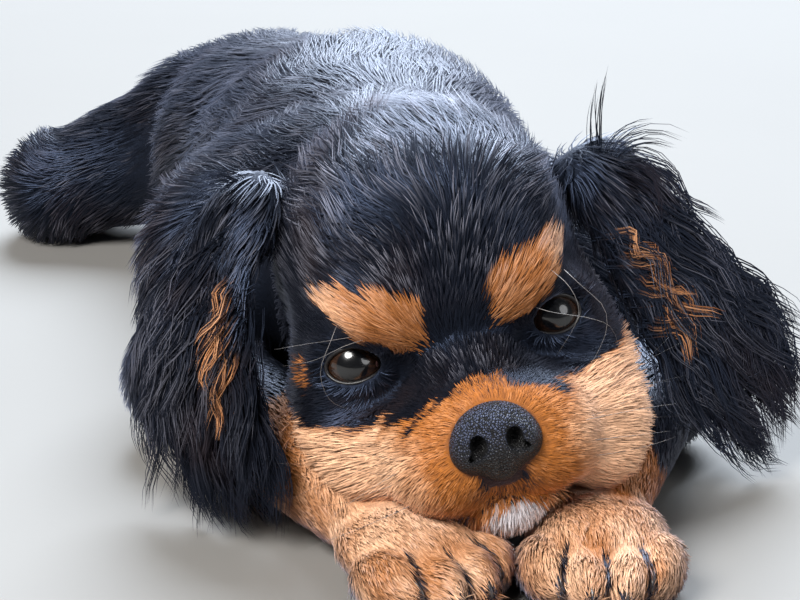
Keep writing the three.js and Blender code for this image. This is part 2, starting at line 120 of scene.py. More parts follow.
def ramp(x: Values, low: float, high: float) -> Values:
    """Rises smoothly from 0 at low to 1 at high, or falls where high is the lower one."""
    t = np.clip((x - low) / (high - low), 0.0, 1.0)
    return t * t * (3.0 - 2.0 * t)


def mixed(a: Values, b: Values, share: Values) -> Values:
    """From a to b by share."""
    return a + (b - a) * share


def fillet(a: Values, b: Values, size: Values) -> Values:
    """Joins two fields with a fillet of about that size."""
    near = np.maximum(size - np.abs(a - b), 0.0) / size
    return np.minimum(a, b) - near * near * size * 0.25


def carved(a: Values, b: Values, size: float) -> Values:
    """Cuts b out of a, with a rounded edge."""
    return -fillet(-a, b, size)


def along_curve(knots: Points, t: Values) -> Points:
    """Places on a smooth curve through the knots.

    Args:
        knots: The points that the curve passes, evenly spaced in t from 0 to 1.
        t: Where on the curve.

    Returns:
        One point for each t.
    """
    knots = np.asarray(knots, float)
    last = len(knots) - 1
    place = np.clip(np.asarray(t, float), 0.0, 1.0) * last
    i = np.minimum(place.astype(int), last - 1)
    s = (place - i)[..., None]
    padded = np.vstack([2 * knots[0] - knots[1], knots, 2 * knots[-1] - knots[-2]])
    a, b, c, d = (padded[i + k] for k in range(4))
    return 0.5 * (2 * b + (c - a) * s + (2 * a - 5 * b + 4 * c - d) * s**2 + (3 * b - a - 3 * c + d) * s**3)


def curve_way(knots: Points, t: Values, step: float) -> Points:
    """Which way the curve through the knots runs at t, measured over a step to either side."""
    return unit(along_curve(knots, t + step) - along_curve(knots, t - step))


def keep_above(points: Points, gap: float = FLOOR_GAP) -> None:
    """Lifts the points that lie lower than a gap over the floor to that gap."""
    points[..., 2] = np.maximum(points[..., 2], gap)


@dataclass(frozen=True)
class Wander:
    """A smooth random field of about unit strength, made of slanted waves."""

    size: float
    seed: int
    waves: int = 9

    def __call__(self, p: Points) -> Values:
        """The field's value at each point."""
        rng = np.random.default_rng(self.seed)
        slant = unit(rng.normal(size=(self.waves, 3))) * rng.uniform(0.6, 1.5, (self.waves, 1))
        phase = rng.uniform(0.0, 2 * math.pi, self.waves)
        return np.sin(p @ slant.T * (2 * math.pi / self.size) + phase).sum(1) / math.sqrt(self.waves / 2)


# Forms: each gives the distance from a point to its surface, negative inside


@dataclass(frozen=True)
class Ball:
    """Ellipsoid, straight or turned: the rows of axes are its own directions."""

    centre: Vec
    radii: Vec
    axes: np.ndarray | None = None

    def __call__(self, p: Points) -> Values:
        """Distance to the ellipsoid."""
        q = p - np.asarray(self.centre)
        if self.axes is not None:
            q = q @ self.axes.T
        q = q / self.radii
        reach = lengths(q)
        return reach * (reach - 1.0) / np.maximum(lengths(q / self.radii), 1e-6)


@dataclass(frozen=True)
class Limb:
    """Limb with round ends, whose radius changes evenly from start to end."""

    start: Vec
    start_radius: float
    end: Vec
    end_radius: float

    @property
    def direction(self) -> Points:
        """From start to end, at length one."""
        return unit(np.subtract(self.end, self.start))

    def share(self, p: Points) -> Values:
        """How far along the limb each point is, from 0 to 1."""
        axis = np.subtract(self.end, self.start)
        return np.clip((p - np.asarray(self.start)) @ axis / (axis @ axis), 0.0, 1.0)

    def __call__(self, p: Points) -> Values:
        """Distance to the limb."""
        t = self.share(p)
        middle = np.asarray(self.start) + t[:, None] * np.subtract(self.end, self.start)
        return lengths(p - middle) - mixed(self.start_radius, self.end_radius, t)


@dataclass(frozen=True)
class Fused:
    """Forms joined with one size of fillet."""

    forms: tuple[Form, ...]
    size: float

    def __call__(self, p: Points) -> Values:
        """Distance to the joined forms."""
        total = self.forms[0](p)
        for form in self.forms[1:]:
            total = fillet(total, form(p), self.size)
        return total


@dataclass(frozen=True)
class Placing:
    """Where a part lies: pitched about x, rolled about y, turned about z, scaled and moved."""

    origin: Vec
    turn: float = 0.0
    roll: float = 0.0
    scale: float = 1.0
    pitch: float = 0.0

    @property
    def matrix(self) -> Points:
        """The rotation, whose columns are the part's own directions."""
        a, b, c = (math.radians(angle) for angle in (self.turn, self.roll, self.pitch))
        about_z = np.array([[math.cos(a), -math.sin(a), 0], [math.sin(a), math.cos(a), 0], [0, 0, 1]])
        about_y = np.array([[math.cos(b), 0, math.sin(b)], [0, 1, 0], [-math.sin(b), 0, math.cos(b)]])
        about_x = np.array([[1, 0, 0], [0, math.cos(c), -math.sin(c)], [0, math.sin(c), math.cos(c)]])
        return about_z @ about_y @ about_x

    def inward(self, p: Points) -> Points:
        """Points in the part's own frame."""
        return (p - np.asarray(self.origin)) @ self.matrix / self.scale

    def outward(self, q: Points) -> Points:
        """Points of the part in the puppy's frame."""
        return np.asarray(q, float) @ self.matrix.T * self.scale + np.asarray(self.origin)

    def turned(self, v: Points) -> Points:
        """Directions of the part in the puppy's frame."""
        return np.asarray(v, float) @ self.matrix.T


@dataclass(frozen=True)
class Placed:
    """A form laid down by a placing."""

    form: Form
    placing: Placing

    def __call__(self, p: Points) -> Values:
        """Distance to the form where it lies."""
        return self.form(self.placing.inward(p)) * self.placing.scale


# How the coat grows


BUILD_SIZES = ("length", "width", "lift", "wave", "cover")


@dataclass
class Growth:
    """How the coat grows at some points: its flow over the skin and the build of its tufts."""

    flow: Points
    length: Values
    width: Values
    lift: Values
    wave: Values
    cover: Values

    @staticmethod
    def blended(parts: Sequence["Growth"], shares: Points) -> "Growth":
        """The mean of several growths.

        Args:
            parts: One growth for each region, at the same points.
            shares: The weight of each region at each point, one row for each region.

        Returns:
            Their mean at each point.
        """
        flow = sum(g.flow * s[:, None] for g, s in zip(parts, shares))
        sizes = (sum(getattr(g, name) * s for g, s in zip(parts, shares)) for name in BUILD_SIZES)
        return Growth(flow, *sizes)


@dataclass(frozen=True)
class CoatBuild:
    """The build of the tufts on one region of the body.

    length and width are in millimetres, lift is the slope at the root, wave is the sideways swing
    in millimetres and cover says how many tufts lie over one another.
    """

    length: float
    width: float
    lift: float = 0.42
    wave: float = 0.4
    cover: float = 3.4

    def grown(self, flow: Points) -> Growth:
        """The same build at every point of a flow."""
        return Growth(flow, *(getattr(self, name) * np.ones(len(flow)) for name in BUILD_SIZES))


@dataclass(frozen=True)
class Region:
    """A region of the body: its form out to the coat, its coat, and how deep the skin lies."""

    name: str
    form: Form
    flow: Callable[[Points], Points]
    build: CoatBuild
    depth: float
    join: float  # how softly it joins the regions before it
    tan: Callable[[Points], Values] = field(default=lambda p: np.zeros(len(p)))

    def skin(self, p: Points) -> Values:
        """Distance to the region's skin."""
        return self.form(p) + self.depth

    def growth(self, p: Points) -> Growth:
        """How the coat grows there."""
        return self.build.grown(self.flow(p))


def steady(direction: Sequence[float]) -> Callable[[Points], Points]:
    """A flow that runs one way everywhere."""
    return lambda p: np.tile(unit(np.asarray(direction, float)), (len(p), 1))


def full(p: Points) -> Values:
    """Tan everywhere."""
    return np.ones(len(p))


@dataclass(frozen=True)
class Eye:
    """One eye in the head's frame: a ball behind two lids that open in an almond."""

    side: Side
    turn: float
    shift: Vec
    above: float
    below: float
    across: float
    spacing: float = 48.0
    radius: float = 8.0
    look_up: float = 15.0
    lid: float = 0.95
    lid_join: float = 4.0
    lid_gap: float = 0.15  # between the ball and the lids over it
    lid_edge: float = 0.4
    slack: float = 0.2  # how much wider than its rim the opening is
    socket: float = 6.0  # how far from the ball the opening is cut
    corner_stretch: float = 1.06
    corner_drop: float = 0.8

    @property
    def placing(self) -> Placing:
        """The eye's own frame, which looks along its minus y."""
        x, y, z = self.shift
        return Placing((self.side.value * self.spacing / 2 + x, y, z), self.turn, 0.0, 1.0, -self.look_up)

    @property
    def centre(self) -> Points:
        """The middle of the ball, in the head's frame."""
        return np.asarray(self.placing.origin)

    def opening(self, q: Points) -> Values:
        """Distance from the rim of the opening, seen along the look; negative inside it."""
        p = self.placing.inward(q)
        high = np.where(p[:, 2] > 0, self.above, self.below)
        reach = np.sqrt((p[:, 0] / self.across) ** 2 + (p[:, 2] / high) ** 2)
        size = np.minimum(self.across, high)
        return np.where(p[:, 1] < 0, (reach - 1.0) * size, FAR)

    def shaped(self, face: Values, q: Points) -> Values:
        """The face with this eye's lids raised over the ball and opened.

        Args:
            face: The face's field at the points.
            q: The points, in the head's frame.

        Returns:
            The field with the lids and the socket.
        """
        ball = lengths(q - self.centre) - self.radius
        lidded = fillet(face, ball - self.lid, self.lid_join)
        lidded = carved(lidded, np.maximum(ball - self.lid_gap, -FAR), 2 * self.lid_gap)
        return carved(lidded, np.maximum(self.opening(q) - self.slack, ball - self.socket), self.lid_edge)

    def rim(self, angles: Values, proud: float) -> Points:
        """Points round the rim of the opening, on the ball, in the head's frame."""
        c, s = np.cos(angles), np.sin(angles)
        inner = -self.side.value * c > 0
        x = self.across * c * np.where(inner, self.corner_stretch, 1.0)
        high = np.where(s > 0, self.above, self.below)
        z = high * np.sign(s) * np.abs(s) ** 1.05 - self.corner_drop * np.where(inner, np.abs(c) ** 4, 0.0)
        r = self.radius + proud
        y = -np.sqrt(np.maximum(r * r - x * x - z * z, 1.0))
        return self.placing.outward(np.stack([x, y, z], -1))


@dataclass(frozen=True)
class Head:
    """The head in its own frame: the nose points along minus y and the eyes are level."""

    turn: float = 10.0
    roll: float = -12.5
    nose_tip: Vec = (0.0, -36.0, -10.0)
    skull_join: float = 9.0
    jaw_join: float = 8.0
    seam_join: float = 4.5
    lip_line: float = 0.7
    bridge: Ball = Ball((0.0, -19.0, 2.0), (13.0, 9.0, 7.0))
    brush: Vec = (0.7, 2.0, 0.6)  # the coat's depth: at the nose, how much more far back, and at the eyes
    hair: Vec = (2.8, 4.6, 4.0)  # the coat's length at the nose, and how much more on the face and far back
    skull: tuple[Form, ...] = (
        Ball((0, 27, 12), (37, 42, 37)),
        Ball((0, 4, 22), (27, 17, 20)),
        *(Ball((s * 15, -6, 12), (9, 7, 6)) for s in (-1, 1)),
        *(Ball((s * 26, 14, -12), (15, 24, 20)) for s in (-1, 1)),
        Ball((0, -18, -13), (19, 21, 12)),
        *(Ball((s * 11, -25, -18), (12.5, 14.5, 11.5)) for s in (-1, 1)),
        *(Ball((s * 24, -4, -20), (14.5, 20, 13)) for s in (-1, 1)),
        Ball((24, -12, -27), (12.5, 17, 10.5)),
        Limb((0, -8, -6), 9, (0, -30, -10), 8.5),
    )
    jaw: tuple[Form, ...] = (
        Ball((0, -19, -29), (13.5, 17, 9.5)),
        Ball((0, 12, -24), (24, 24, 13)),
    )
    groove: tuple[Form, ...] = (
        Limb((0, -41.5, -15), 0.8, (0, -41.3, -20), 0.8),
        Limb((0, -41.3, -20), 0.8, (0, -38.5, -25), 0.6),
    )
    nose_bed: Ball = Ball((0.0, -41.0, -10.5), (7.6, 6.5, 6.6))
    eyes: tuple[Eye, ...] = (
        Eye(Side.RIGHT, turn=-11.0, shift=(0.0, 0.0, 1.2), above=4.3, below=4.0, across=6.4),
        Eye(Side.LEFT, turn=3.0, shift=(-0.8, 0.0, 0.7), above=4.5, below=4.3, across=5.7),
    )

    @property
    def placing(self) -> Placing:
        """Where the head lies."""
        return Placing((0.0, 0.0, EYE_HEIGHT), self.turn, self.roll)

    def from_nose(self, q: Points) -> Values:
        """Distance from the tip of the nose."""
        return lengths(q - np.asarray(self.nose_tip))

    def from_eye(self, q: Points) -> Values:
        """Distance from the centre of the nearer eye."""
        return np.minimum(*(lengths(q - eye.centre) for eye in self.eyes))

    def depth(self, q: Points) -> Values:
        """How deep the skin lies under the coat's outline: least round the nose and the eyes."""
        at_nose, further_back, at_eye = self.brush
        deep = at_nose + further_back * ramp(self.from_nose(q), 16, 75)
        return mixed(at_eye, deep, ramp(self.from_eye(q), 9, 24))

    def skin(self, p: Points) -> Values:
        """Distance to the head's skin, with lids, lips and the groove under the nose."""
        q = self.placing.inward(p)
        deep = self.depth(q)
        skull = Fused(self.skull, self.skull_join)(q) + deep
        jaw = Fused(self.jaw, self.jaw_join)(q) + deep
        face = fillet(skull, jaw, self.seam_join)
        mouth = np.sqrt(skull**2 + jaw**2) - self.lip_line * ramp(q[:, 1], -6.0, -14.0)
        face = carved(face, mouth, 0.6)
        for groove in self.groove:
            face = carved(face, groove(q), 0.8)
        face = carved(face, self.nose_bed(q), 1.2)
        for eye in self.eyes:
            face = eye.shaped(face, q)
        return face

    def form(self, p: Points) -> Values:
        """Distance to the head's outline with its coat, without the details of the skin."""
        q = self.placing.inward(p)
        return fillet(Fused(self.skull, self.skull_join)(q), Fused(self.jaw, self.jaw_join)(q), 2.0)

    def flow(self, q: Points) -> Points:
        """Which way the coat runs, in the head's frame.

        The hair runs away from the nose over the face, parts round the eyes, and turns down and
        back behind the crown.

        Args:
            q: Points in the head's frame.

        Returns:
            A direction for each point.
        """
        away = unit(q - np.asarray(self.nose_tip))
        sideways = np.sign(q[:, 0]) * ramp(np.abs(q[:, 0]), 0, 30)
        behind = unit(np.stack([0.5 * sideways, np.ones(len(q)), np.full(len(q), -0.7)], -1))
        flow = mixed(away, behind, ramp(q[:, 1], 8, 48)[:, None])
        for eye in self.eyes:
            out = q - eye.centre
            near = ramp(lengths(out), 21.0, 8.5)[:, None]
            out = unit(out)
            inward = np.minimum(np.einsum("ij,ij->i", flow, out), 0.0)[:, None]
            flow = flow - near * inward * out * 1.6 + near * out * 0.55
        return unit(flow)

    def growth(self, p: Points) -> Growth:
        """How the head's coat grows: short and close on the muzzle, longer and wavy on the crown."""
        q = self.placing.inward(p)
        reach = self.from_nose(q)
        around_eye = ramp(self.from_eye(q), 8.5, 22.0)
        at_nose, on_face, far_back = self.hair
        length = at_nose + on_face * ramp(reach, 9, 30) + far_back * ramp(reach, 28, 75)
        cheek = ramp(np.abs(q[:, 0]), 16, 32) * ramp(q[:, 2], -2, -12) * ramp(q[:, 1], -24, -4)
        length = (length + 2.0 * cheek) * mixed(0.42, 1.0, around_eye)
        crown = ramp(q[:, 2], 20, 36)
        bridge = ramp(self.bridge(q), 1.0, -3.0)
        length = length + 7.0 * crown + 3.2 * bridge
        width = 0.28 + 0.011 * length
        swirl = Wander(32.0, 5)(q) * (0.10 + 0.42 * crown)
        flow = self.flow(q)
        side = unit(np.cross(flow, q - np.array([0.0, 20.0, 0.0])))
        flow = unit(flow + side * swirl[:, None])
        lift = 0.30 + 0.10 * cheek + 0.12 * ramp(reach, 34, 10) - 0.06 * crown + 0.22 * bridge
        wave = 0.15 + 1.7 * crown
        nape = ramp(q[:, 1], 22, 40) * ramp(q[:, 2], 40, 25)
        cover = 3.5 + 1.2 * ramp(reach, 34, 24) - 1.9 * nape
        return Growth(self.placing.turned(flow), length, width, lift, wave, cover)


@dataclass(frozen=True)
class Paw:
    """A paw in its own frame, with the toes towards minus y and the ground under it."""

    place: Placing
    hind: bool
    toe_spots: tuple[Vec, ...] = (  # across, along, and the toe's turn
        (-11.2, -24.0, 13.0), (-4.0, -29.5, 4.0), (4.0, -29.5, -4.0), (11.2, -24.0, -13.0),
    )
    toe: Ball = Ball((0, 0, 0), (5.5, 9.5, 7.2))
    toe_height: float = 7.2
    toe_join: float = 2.2
    palm: Ball = Ball((0, -13, 9), (14.5, 17.5, 9.5))
    claw_root: Vec = (0.0, -9.4, 0.6)

    def toe_placings(self) -> list[Placing]:
        """The frame of each toe, within the paw's."""
        return [Placing((x, y, self.toe_height), turn) for x, y, turn in self.toe_spots]

    def __call__(self, p: Points) -> Values:
        """Distance to the paw."""
        q = self.place.inward(p)
        total = self.palm(q)
        for placing in self.toe_placings():
            total = fillet(total, self.toe(placing.inward(q)), self.toe_join)
        return total * self.place.scale

    def between_toes(self, p: Points) -> Values:
        """Near 1 low in the clefts between the toes, where it stands for painted shade, and round the roots
        of the claws.
        """
        q = self.place.inward(p)
        inside = [placing.inward(q) for placing in self.toe_placings()]
        reach = np.sort([self.toe(p) for p in inside], axis=0)
        cleft = ramp(reach[1] - reach[0], 2.3, 0.4) * ramp(q[:, 1], -19, -23) * ramp(q[:, 2], 14.5, 12)
        claw = np.min([lengths(p - np.array(self.claw_root)) for p in inside], 0)
        return np.maximum(cleft, ramp(claw, 1.9, 0.9))


@dataclass(frozen=True)
class Leg:
    """A leg: a thick upper limb under the coat, a slim lower one, and a paw."""

    name: str
    upper: Limb
    lower: Limb
    paw: Paw
    tan_from: float

    def regions(self) -> list[Region]:
        """The leg's regions, from the body outwards."""

        def lower_tan(p: Points) -> Values:
            """How tan the lower limb is, from none to all, with a ragged edge."""
            ragged = self.lower.share(p) + 0.05 * Wander(11.0, 61)(p)
            return ramp(ragged, self.tan_from - 0.12, self.tan_from + 0.14)

        upper_way = steady(self.upper.direction + np.array([0.0, 0.5, -0.3]))
        lower_way = steady(self.lower.direction)
        toes = steady(self.paw.place.turned(np.array([0.0, -1.0, -0.12])))
        covers = (1.1, 1.2) if self.paw.hind else (2.6, 3.2)
        upper = CoatBuild(length=12.0, width=0.54, lift=0.22, cover=2.0)
        lower = CoatBuild(length=7.0, width=0.44, lift=0.24, wave=0.3, cover=covers[0])
        paw = CoatBuild(length=5.6, width=0.38, lift=0.24, wave=0.2, cover=covers[1])
        return [
            Region(f"{self.name}_upper", self.upper, upper_way, upper, depth=3.4, join=12.0),
            Region(f"{self.name}_lower", self.lower, lower_way, lower, depth=1.7, join=6.0, tan=lower_tan),
            Region(f"{self.name}_paw", self.paw, toes, paw, depth=1.0, join=4.0, tan=full),
        ]


@dataclass(frozen=True)
class Ear:
    """A hanging ear: a fold at the root, a thin leather below it and long locks all over."""

    side: Side
    fall: tuple[Vec, ...]
    fold: Ball
    face: Vec
    wisps: tuple[Vec, ...]  # lean, length and curl of each
    golden: Vec  # from and to which share of the leather, and their sweep
    half_thickness: float = 2.0
    plates: int = 9
    narrow: float = 7.0  # half the width at the root
    belly: float = 9.0  # how much wider it is in the middle
    depth: float = 0.6
    join: float = 3.0

    def frames(self, t: Values) -> tuple[Points, Points, Points, Points]:
        """Place, along, across and out directions of the leather.

        Args:
            t: How far down the leather, from 0 to 1.

        Returns:
            The middle of the leather and its three directions.
        """
        middle, along = along_curve(self.fall, t), curve_way(self.fall, t, 0.02)
        across = unit(np.cross(np.asarray(self.face), along))
        return middle, along, across, np.cross(along, across)

    def half_width(self, t: Values) -> Values:
        """Half the leather's width."""
        return self.narrow + self.belly * np.sin(math.pi * np.clip(0.1 + 0.75 * t, 0.0, 1.0))

    def form(self, p: Points) -> Values:
        """Distance to the fold and the leather."""
        t = np.linspace(0.04, 0.92, self.plates)
        middle, along, across, out = self.frames(t)
        wide = self.half_width(t)
        pace = lengths(middle[1] - middle[0])
        total = self.fold(p)
        for k in range(self.plates):
            axes = np.stack([across[k], out[k], along[k]])
            plate = Ball(tuple(middle[k]), (wide[k], self.half_thickness, pace * 1.5), axes)
            total = fillet(total, plate(p), self.join)
        return total

    def region(self) -> Region:
        """The ear as a region of the body."""
        way = steady(np.subtract(self.fall[-1], self.fall[0]))
        build = CoatBuild(length=10.0, width=0.45, lift=0.2, wave=0.8, cover=2.4)
        return Region(f"ear_{self.side.word}", self.form, way, build, self.depth, self.join)


def make_ears() -> tuple[Ear, Ear]:
    """The two ears as they lie in this pose."""
    right = Ear(
        Side.RIGHT,
        ((-49, 26, 78), (-54.5, 23, 70), (-59, 18, 58), (-60.5, 13, 46), (-59, 8, 36), (-56, 5, 28)),
        Ball((-47, 27, 73.5), (9, 7, 8)),
        (-0.74, -0.6, 0.3),
        ((-18, 14, -36), (-34, 16, -46), (-48, 18, -50), (-64, 17, -40)),
        (0.34, 0.78, 0.45),
    )
    left = Ear(
        Side.LEFT,
        ((33, 34, 83), (40, 33.5, 74), (48, 34, 61), (56, 36, 49), (64, 39, 39.5), (70, 42, 32)),
        Ball((30, 34, 79), (9, 7, 8)),
        (0.52, -0.74, 0.42),
        (
            (-12, 24, 8), (-3, 29, 5), (12, 20, 30), (20, 24, 44), (33, 21, 34), (45, 21, 56), (56, 18, 52),
            (68, 20, 60),
        ),
        (0.22, 0.56, 1.50),
    )
    return right, left


def make_legs() -> tuple[Leg, ...]:
    """The four legs as they lie in this pose."""

    def fore(name: str, shoulder: Vec, elbow: Vec, wrist: Vec, spot: Vec, turn: float, tan: float) -> Leg:
        """A foreleg through its joints."""
        upper = Limb(shoulder, 24, elbow, 18)
        lower = Limb(elbow, 17.5, wrist, 13)
        return Leg(name, upper, lower, Paw(Placing(spot, turn, 0.0, 1.14), False), tan)

    def hind(name: str, hip: Vec, knee: Vec, hock: Vec, spot: Vec, turn: float) -> Leg:
        """A hind leg through its joints."""
        upper = Limb(hip, 28, knee, 18)
        lower = Limb(knee, 17.5, hock, 12.5)
        return Leg(name, upper, lower, Paw(Placing(spot, turn, 180.0), True), 0.45)

    return (
        fore("foreleg_right", (-60, 84, 40), (-68, 62, 18), (-20, -13, 12.5), (-19, -14, 0), 32, 0.5),
        fore("foreleg_left", (16, 82, 40), (48, 58, 17), (33, -7, 12.5), (32, -8, 0), 3, 0.66),
        hind("hindleg_right", (-82, 236, 30), (-126, 232, 16.5), (-113, 284, 12.5), (-113, 283, 18), 174),
        hind("hindleg_left", (-42, 240, 30), (4, 242, 16.5), (-8, 294, 12.5), (-8, 293, 18), 186),
    )


@dataclass(frozen=True)
class Anatomy:
    """All of the puppy's flesh, region by region."""

    head: Head = Head()
    ears: tuple[Ear, ...] = field(default_factory=make_ears)
    legs: tuple[Leg, ...] = field(default_factory=make_legs)
    tail_bones: tuple[Vec, ...] = ((-66, 262, 31), (-71, 300, 16), (-65, 340, 7))
    tail_radii: tuple[float, ...] = (13.0, 10.0, 6.0)
    torso: tuple[Form, ...] = (
        Ball((-22, 108, 40), (50, 48, 43)),
        Ball((-27, 152, 40), (52, 54, 47)),
        Ball((-48, 200, 35), (46, 48, 40)),
        Ball((-62, 236, 32), (36, 34, 35)),
        Ball((-56, 92, 38), (26, 30, 30)),
        Ball((16, 88, 38), (24, 30, 30)),
    )
    neck: tuple[Form, ...] = (Limb((-6, 30, 52), 30, (-20, 84, 46), 40), Ball((-4, 56, 30), (34, 34, 26)))
    spine: tuple[Vec, ...] = (
        (-6, 30, 60), (-22, 108, 60), (-27, 152, 60), (-48, 200, 52), (-62, 236, 44), (-68, 290, 30),
    )
    head_depth: float = 1.8
    border: float = 2.2  # how far one region's coat runs into the next
    chin_join: float = 1.2  # how softly the head joins the body under the chin
    nape_join: float = 11.0  # and how much more softly behind

    def spine_flow(self, p: Points) -> Points:
        """Back along the spine and down the sides."""
        spine = np.asarray(self.spine, float)
        t = np.interp(p[:, 1], spine[:, 1], np.linspace(0, 1, len(spine)))
        middle = along_curve(spine, t)
        back = curve_way(spine, t, 0.05)
        away = p - middle
        away[:, 1] = 0.0
        swirl = Wander(60.0, 17)(p)[:, None] * np.array([0.22, 0.0, 0.12])
        return unit(back + np.array([0.0, 0.0, -0.38]) + 0.28 * unit(away) + swirl)

    def tail(self, p: Points) -> Values:
        """Distance to the tail."""
        bones, radii = self.tail_bones, self.tail_radii
        return Fused(tuple(Limb(bones[k], radii[k], bones[k + 1], radii[k + 1]) for k in (0, 1)), 6.0)(p)

    def regions(self) -> list[Region]:
        """Every region but the head, in the order in which they are joined."""
        torso = CoatBuild(length=17.0, width=0.56, lift=0.18, wave=1.6, cover=1.7)
        neck = CoatBuild(length=15.0, width=0.54, lift=0.20, wave=1.5, cover=2.0)
        tail = CoatBuild(length=12.0, width=0.6, lift=0.42, wave=0.8)
        tail_way = steady(np.subtract(self.tail_bones[-1], self.tail_bones[0]))
        return [
            Region("torso", Fused(self.torso, 20.0), self.spine_flow, torso, depth=4.2, join=14.0),
            Region("neck", Fused(self.neck, 12.0), self.spine_flow, neck, depth=3.8, join=12.0),
            Region("tail", self.tail, tail_way, tail, depth=2.2, join=8.0),
            *(region for leg in self.legs for region in leg.regions()),
        ]

    def with_ears(self) -> list[Region]:
        """Every region but the head, with the ears at the end."""
        return self.regions() + [ear.region() for ear in self.ears]

    def skin(self, p: Points) -> Values:
        """Distance to the skin: every region joined, the ears hung on, and flat on the floor."""
        first, *others = self.regions()
        total = first.skin(p)
        for region in others:
            total = fillet(total, region.skin(p), region.join)
        total = fillet(total, self.head.skin(p), self.chin_join + self.nape_join * ramp(p[:, 1], 22, 48))
        for ear in self.ears:
            region = ear.region()
            total = fillet(total, region.skin(p), region.join)
        return np.maximum(total, FLOOR_GAP - p[:, 2])

    def shares(self, p: Points) -> tuple[list[str], Points]:
        """How much of each point belongs to each region.

        Args:
            p: Points on the skin.

        Returns:
            The regions' names, the head first, and one row of shares for each.
        """
        regions = self.with_ears()
        reach = np.stack([self.head.form(p) + self.head_depth] + [r.skin(p) for r in regions])
        weight = np.exp(-(reach - reach.min(0)) / self.border)
        return ["head"] + [r.name for r in regions], weight / weight.sum(0)

    def growth(self, p: Points) -> Growth:
        """How the coat grows at points on the skin."""
        _, shares = self.shares(p)
        return Growth.blended([self.head.growth(p)] + [r.growth(p) for r in self.with_ears()], shares)

    def slope(self, p: Points, step: float = 0.25) -> tuple[Values, Points]:
        """The skin's field and its gradient."""
        here = self.skin(p)
        steps = [self.skin(p + np.eye(3)[k] * step) - here for k in range(3)]
        return here, np.stack(steps, -1) / step


# Markings


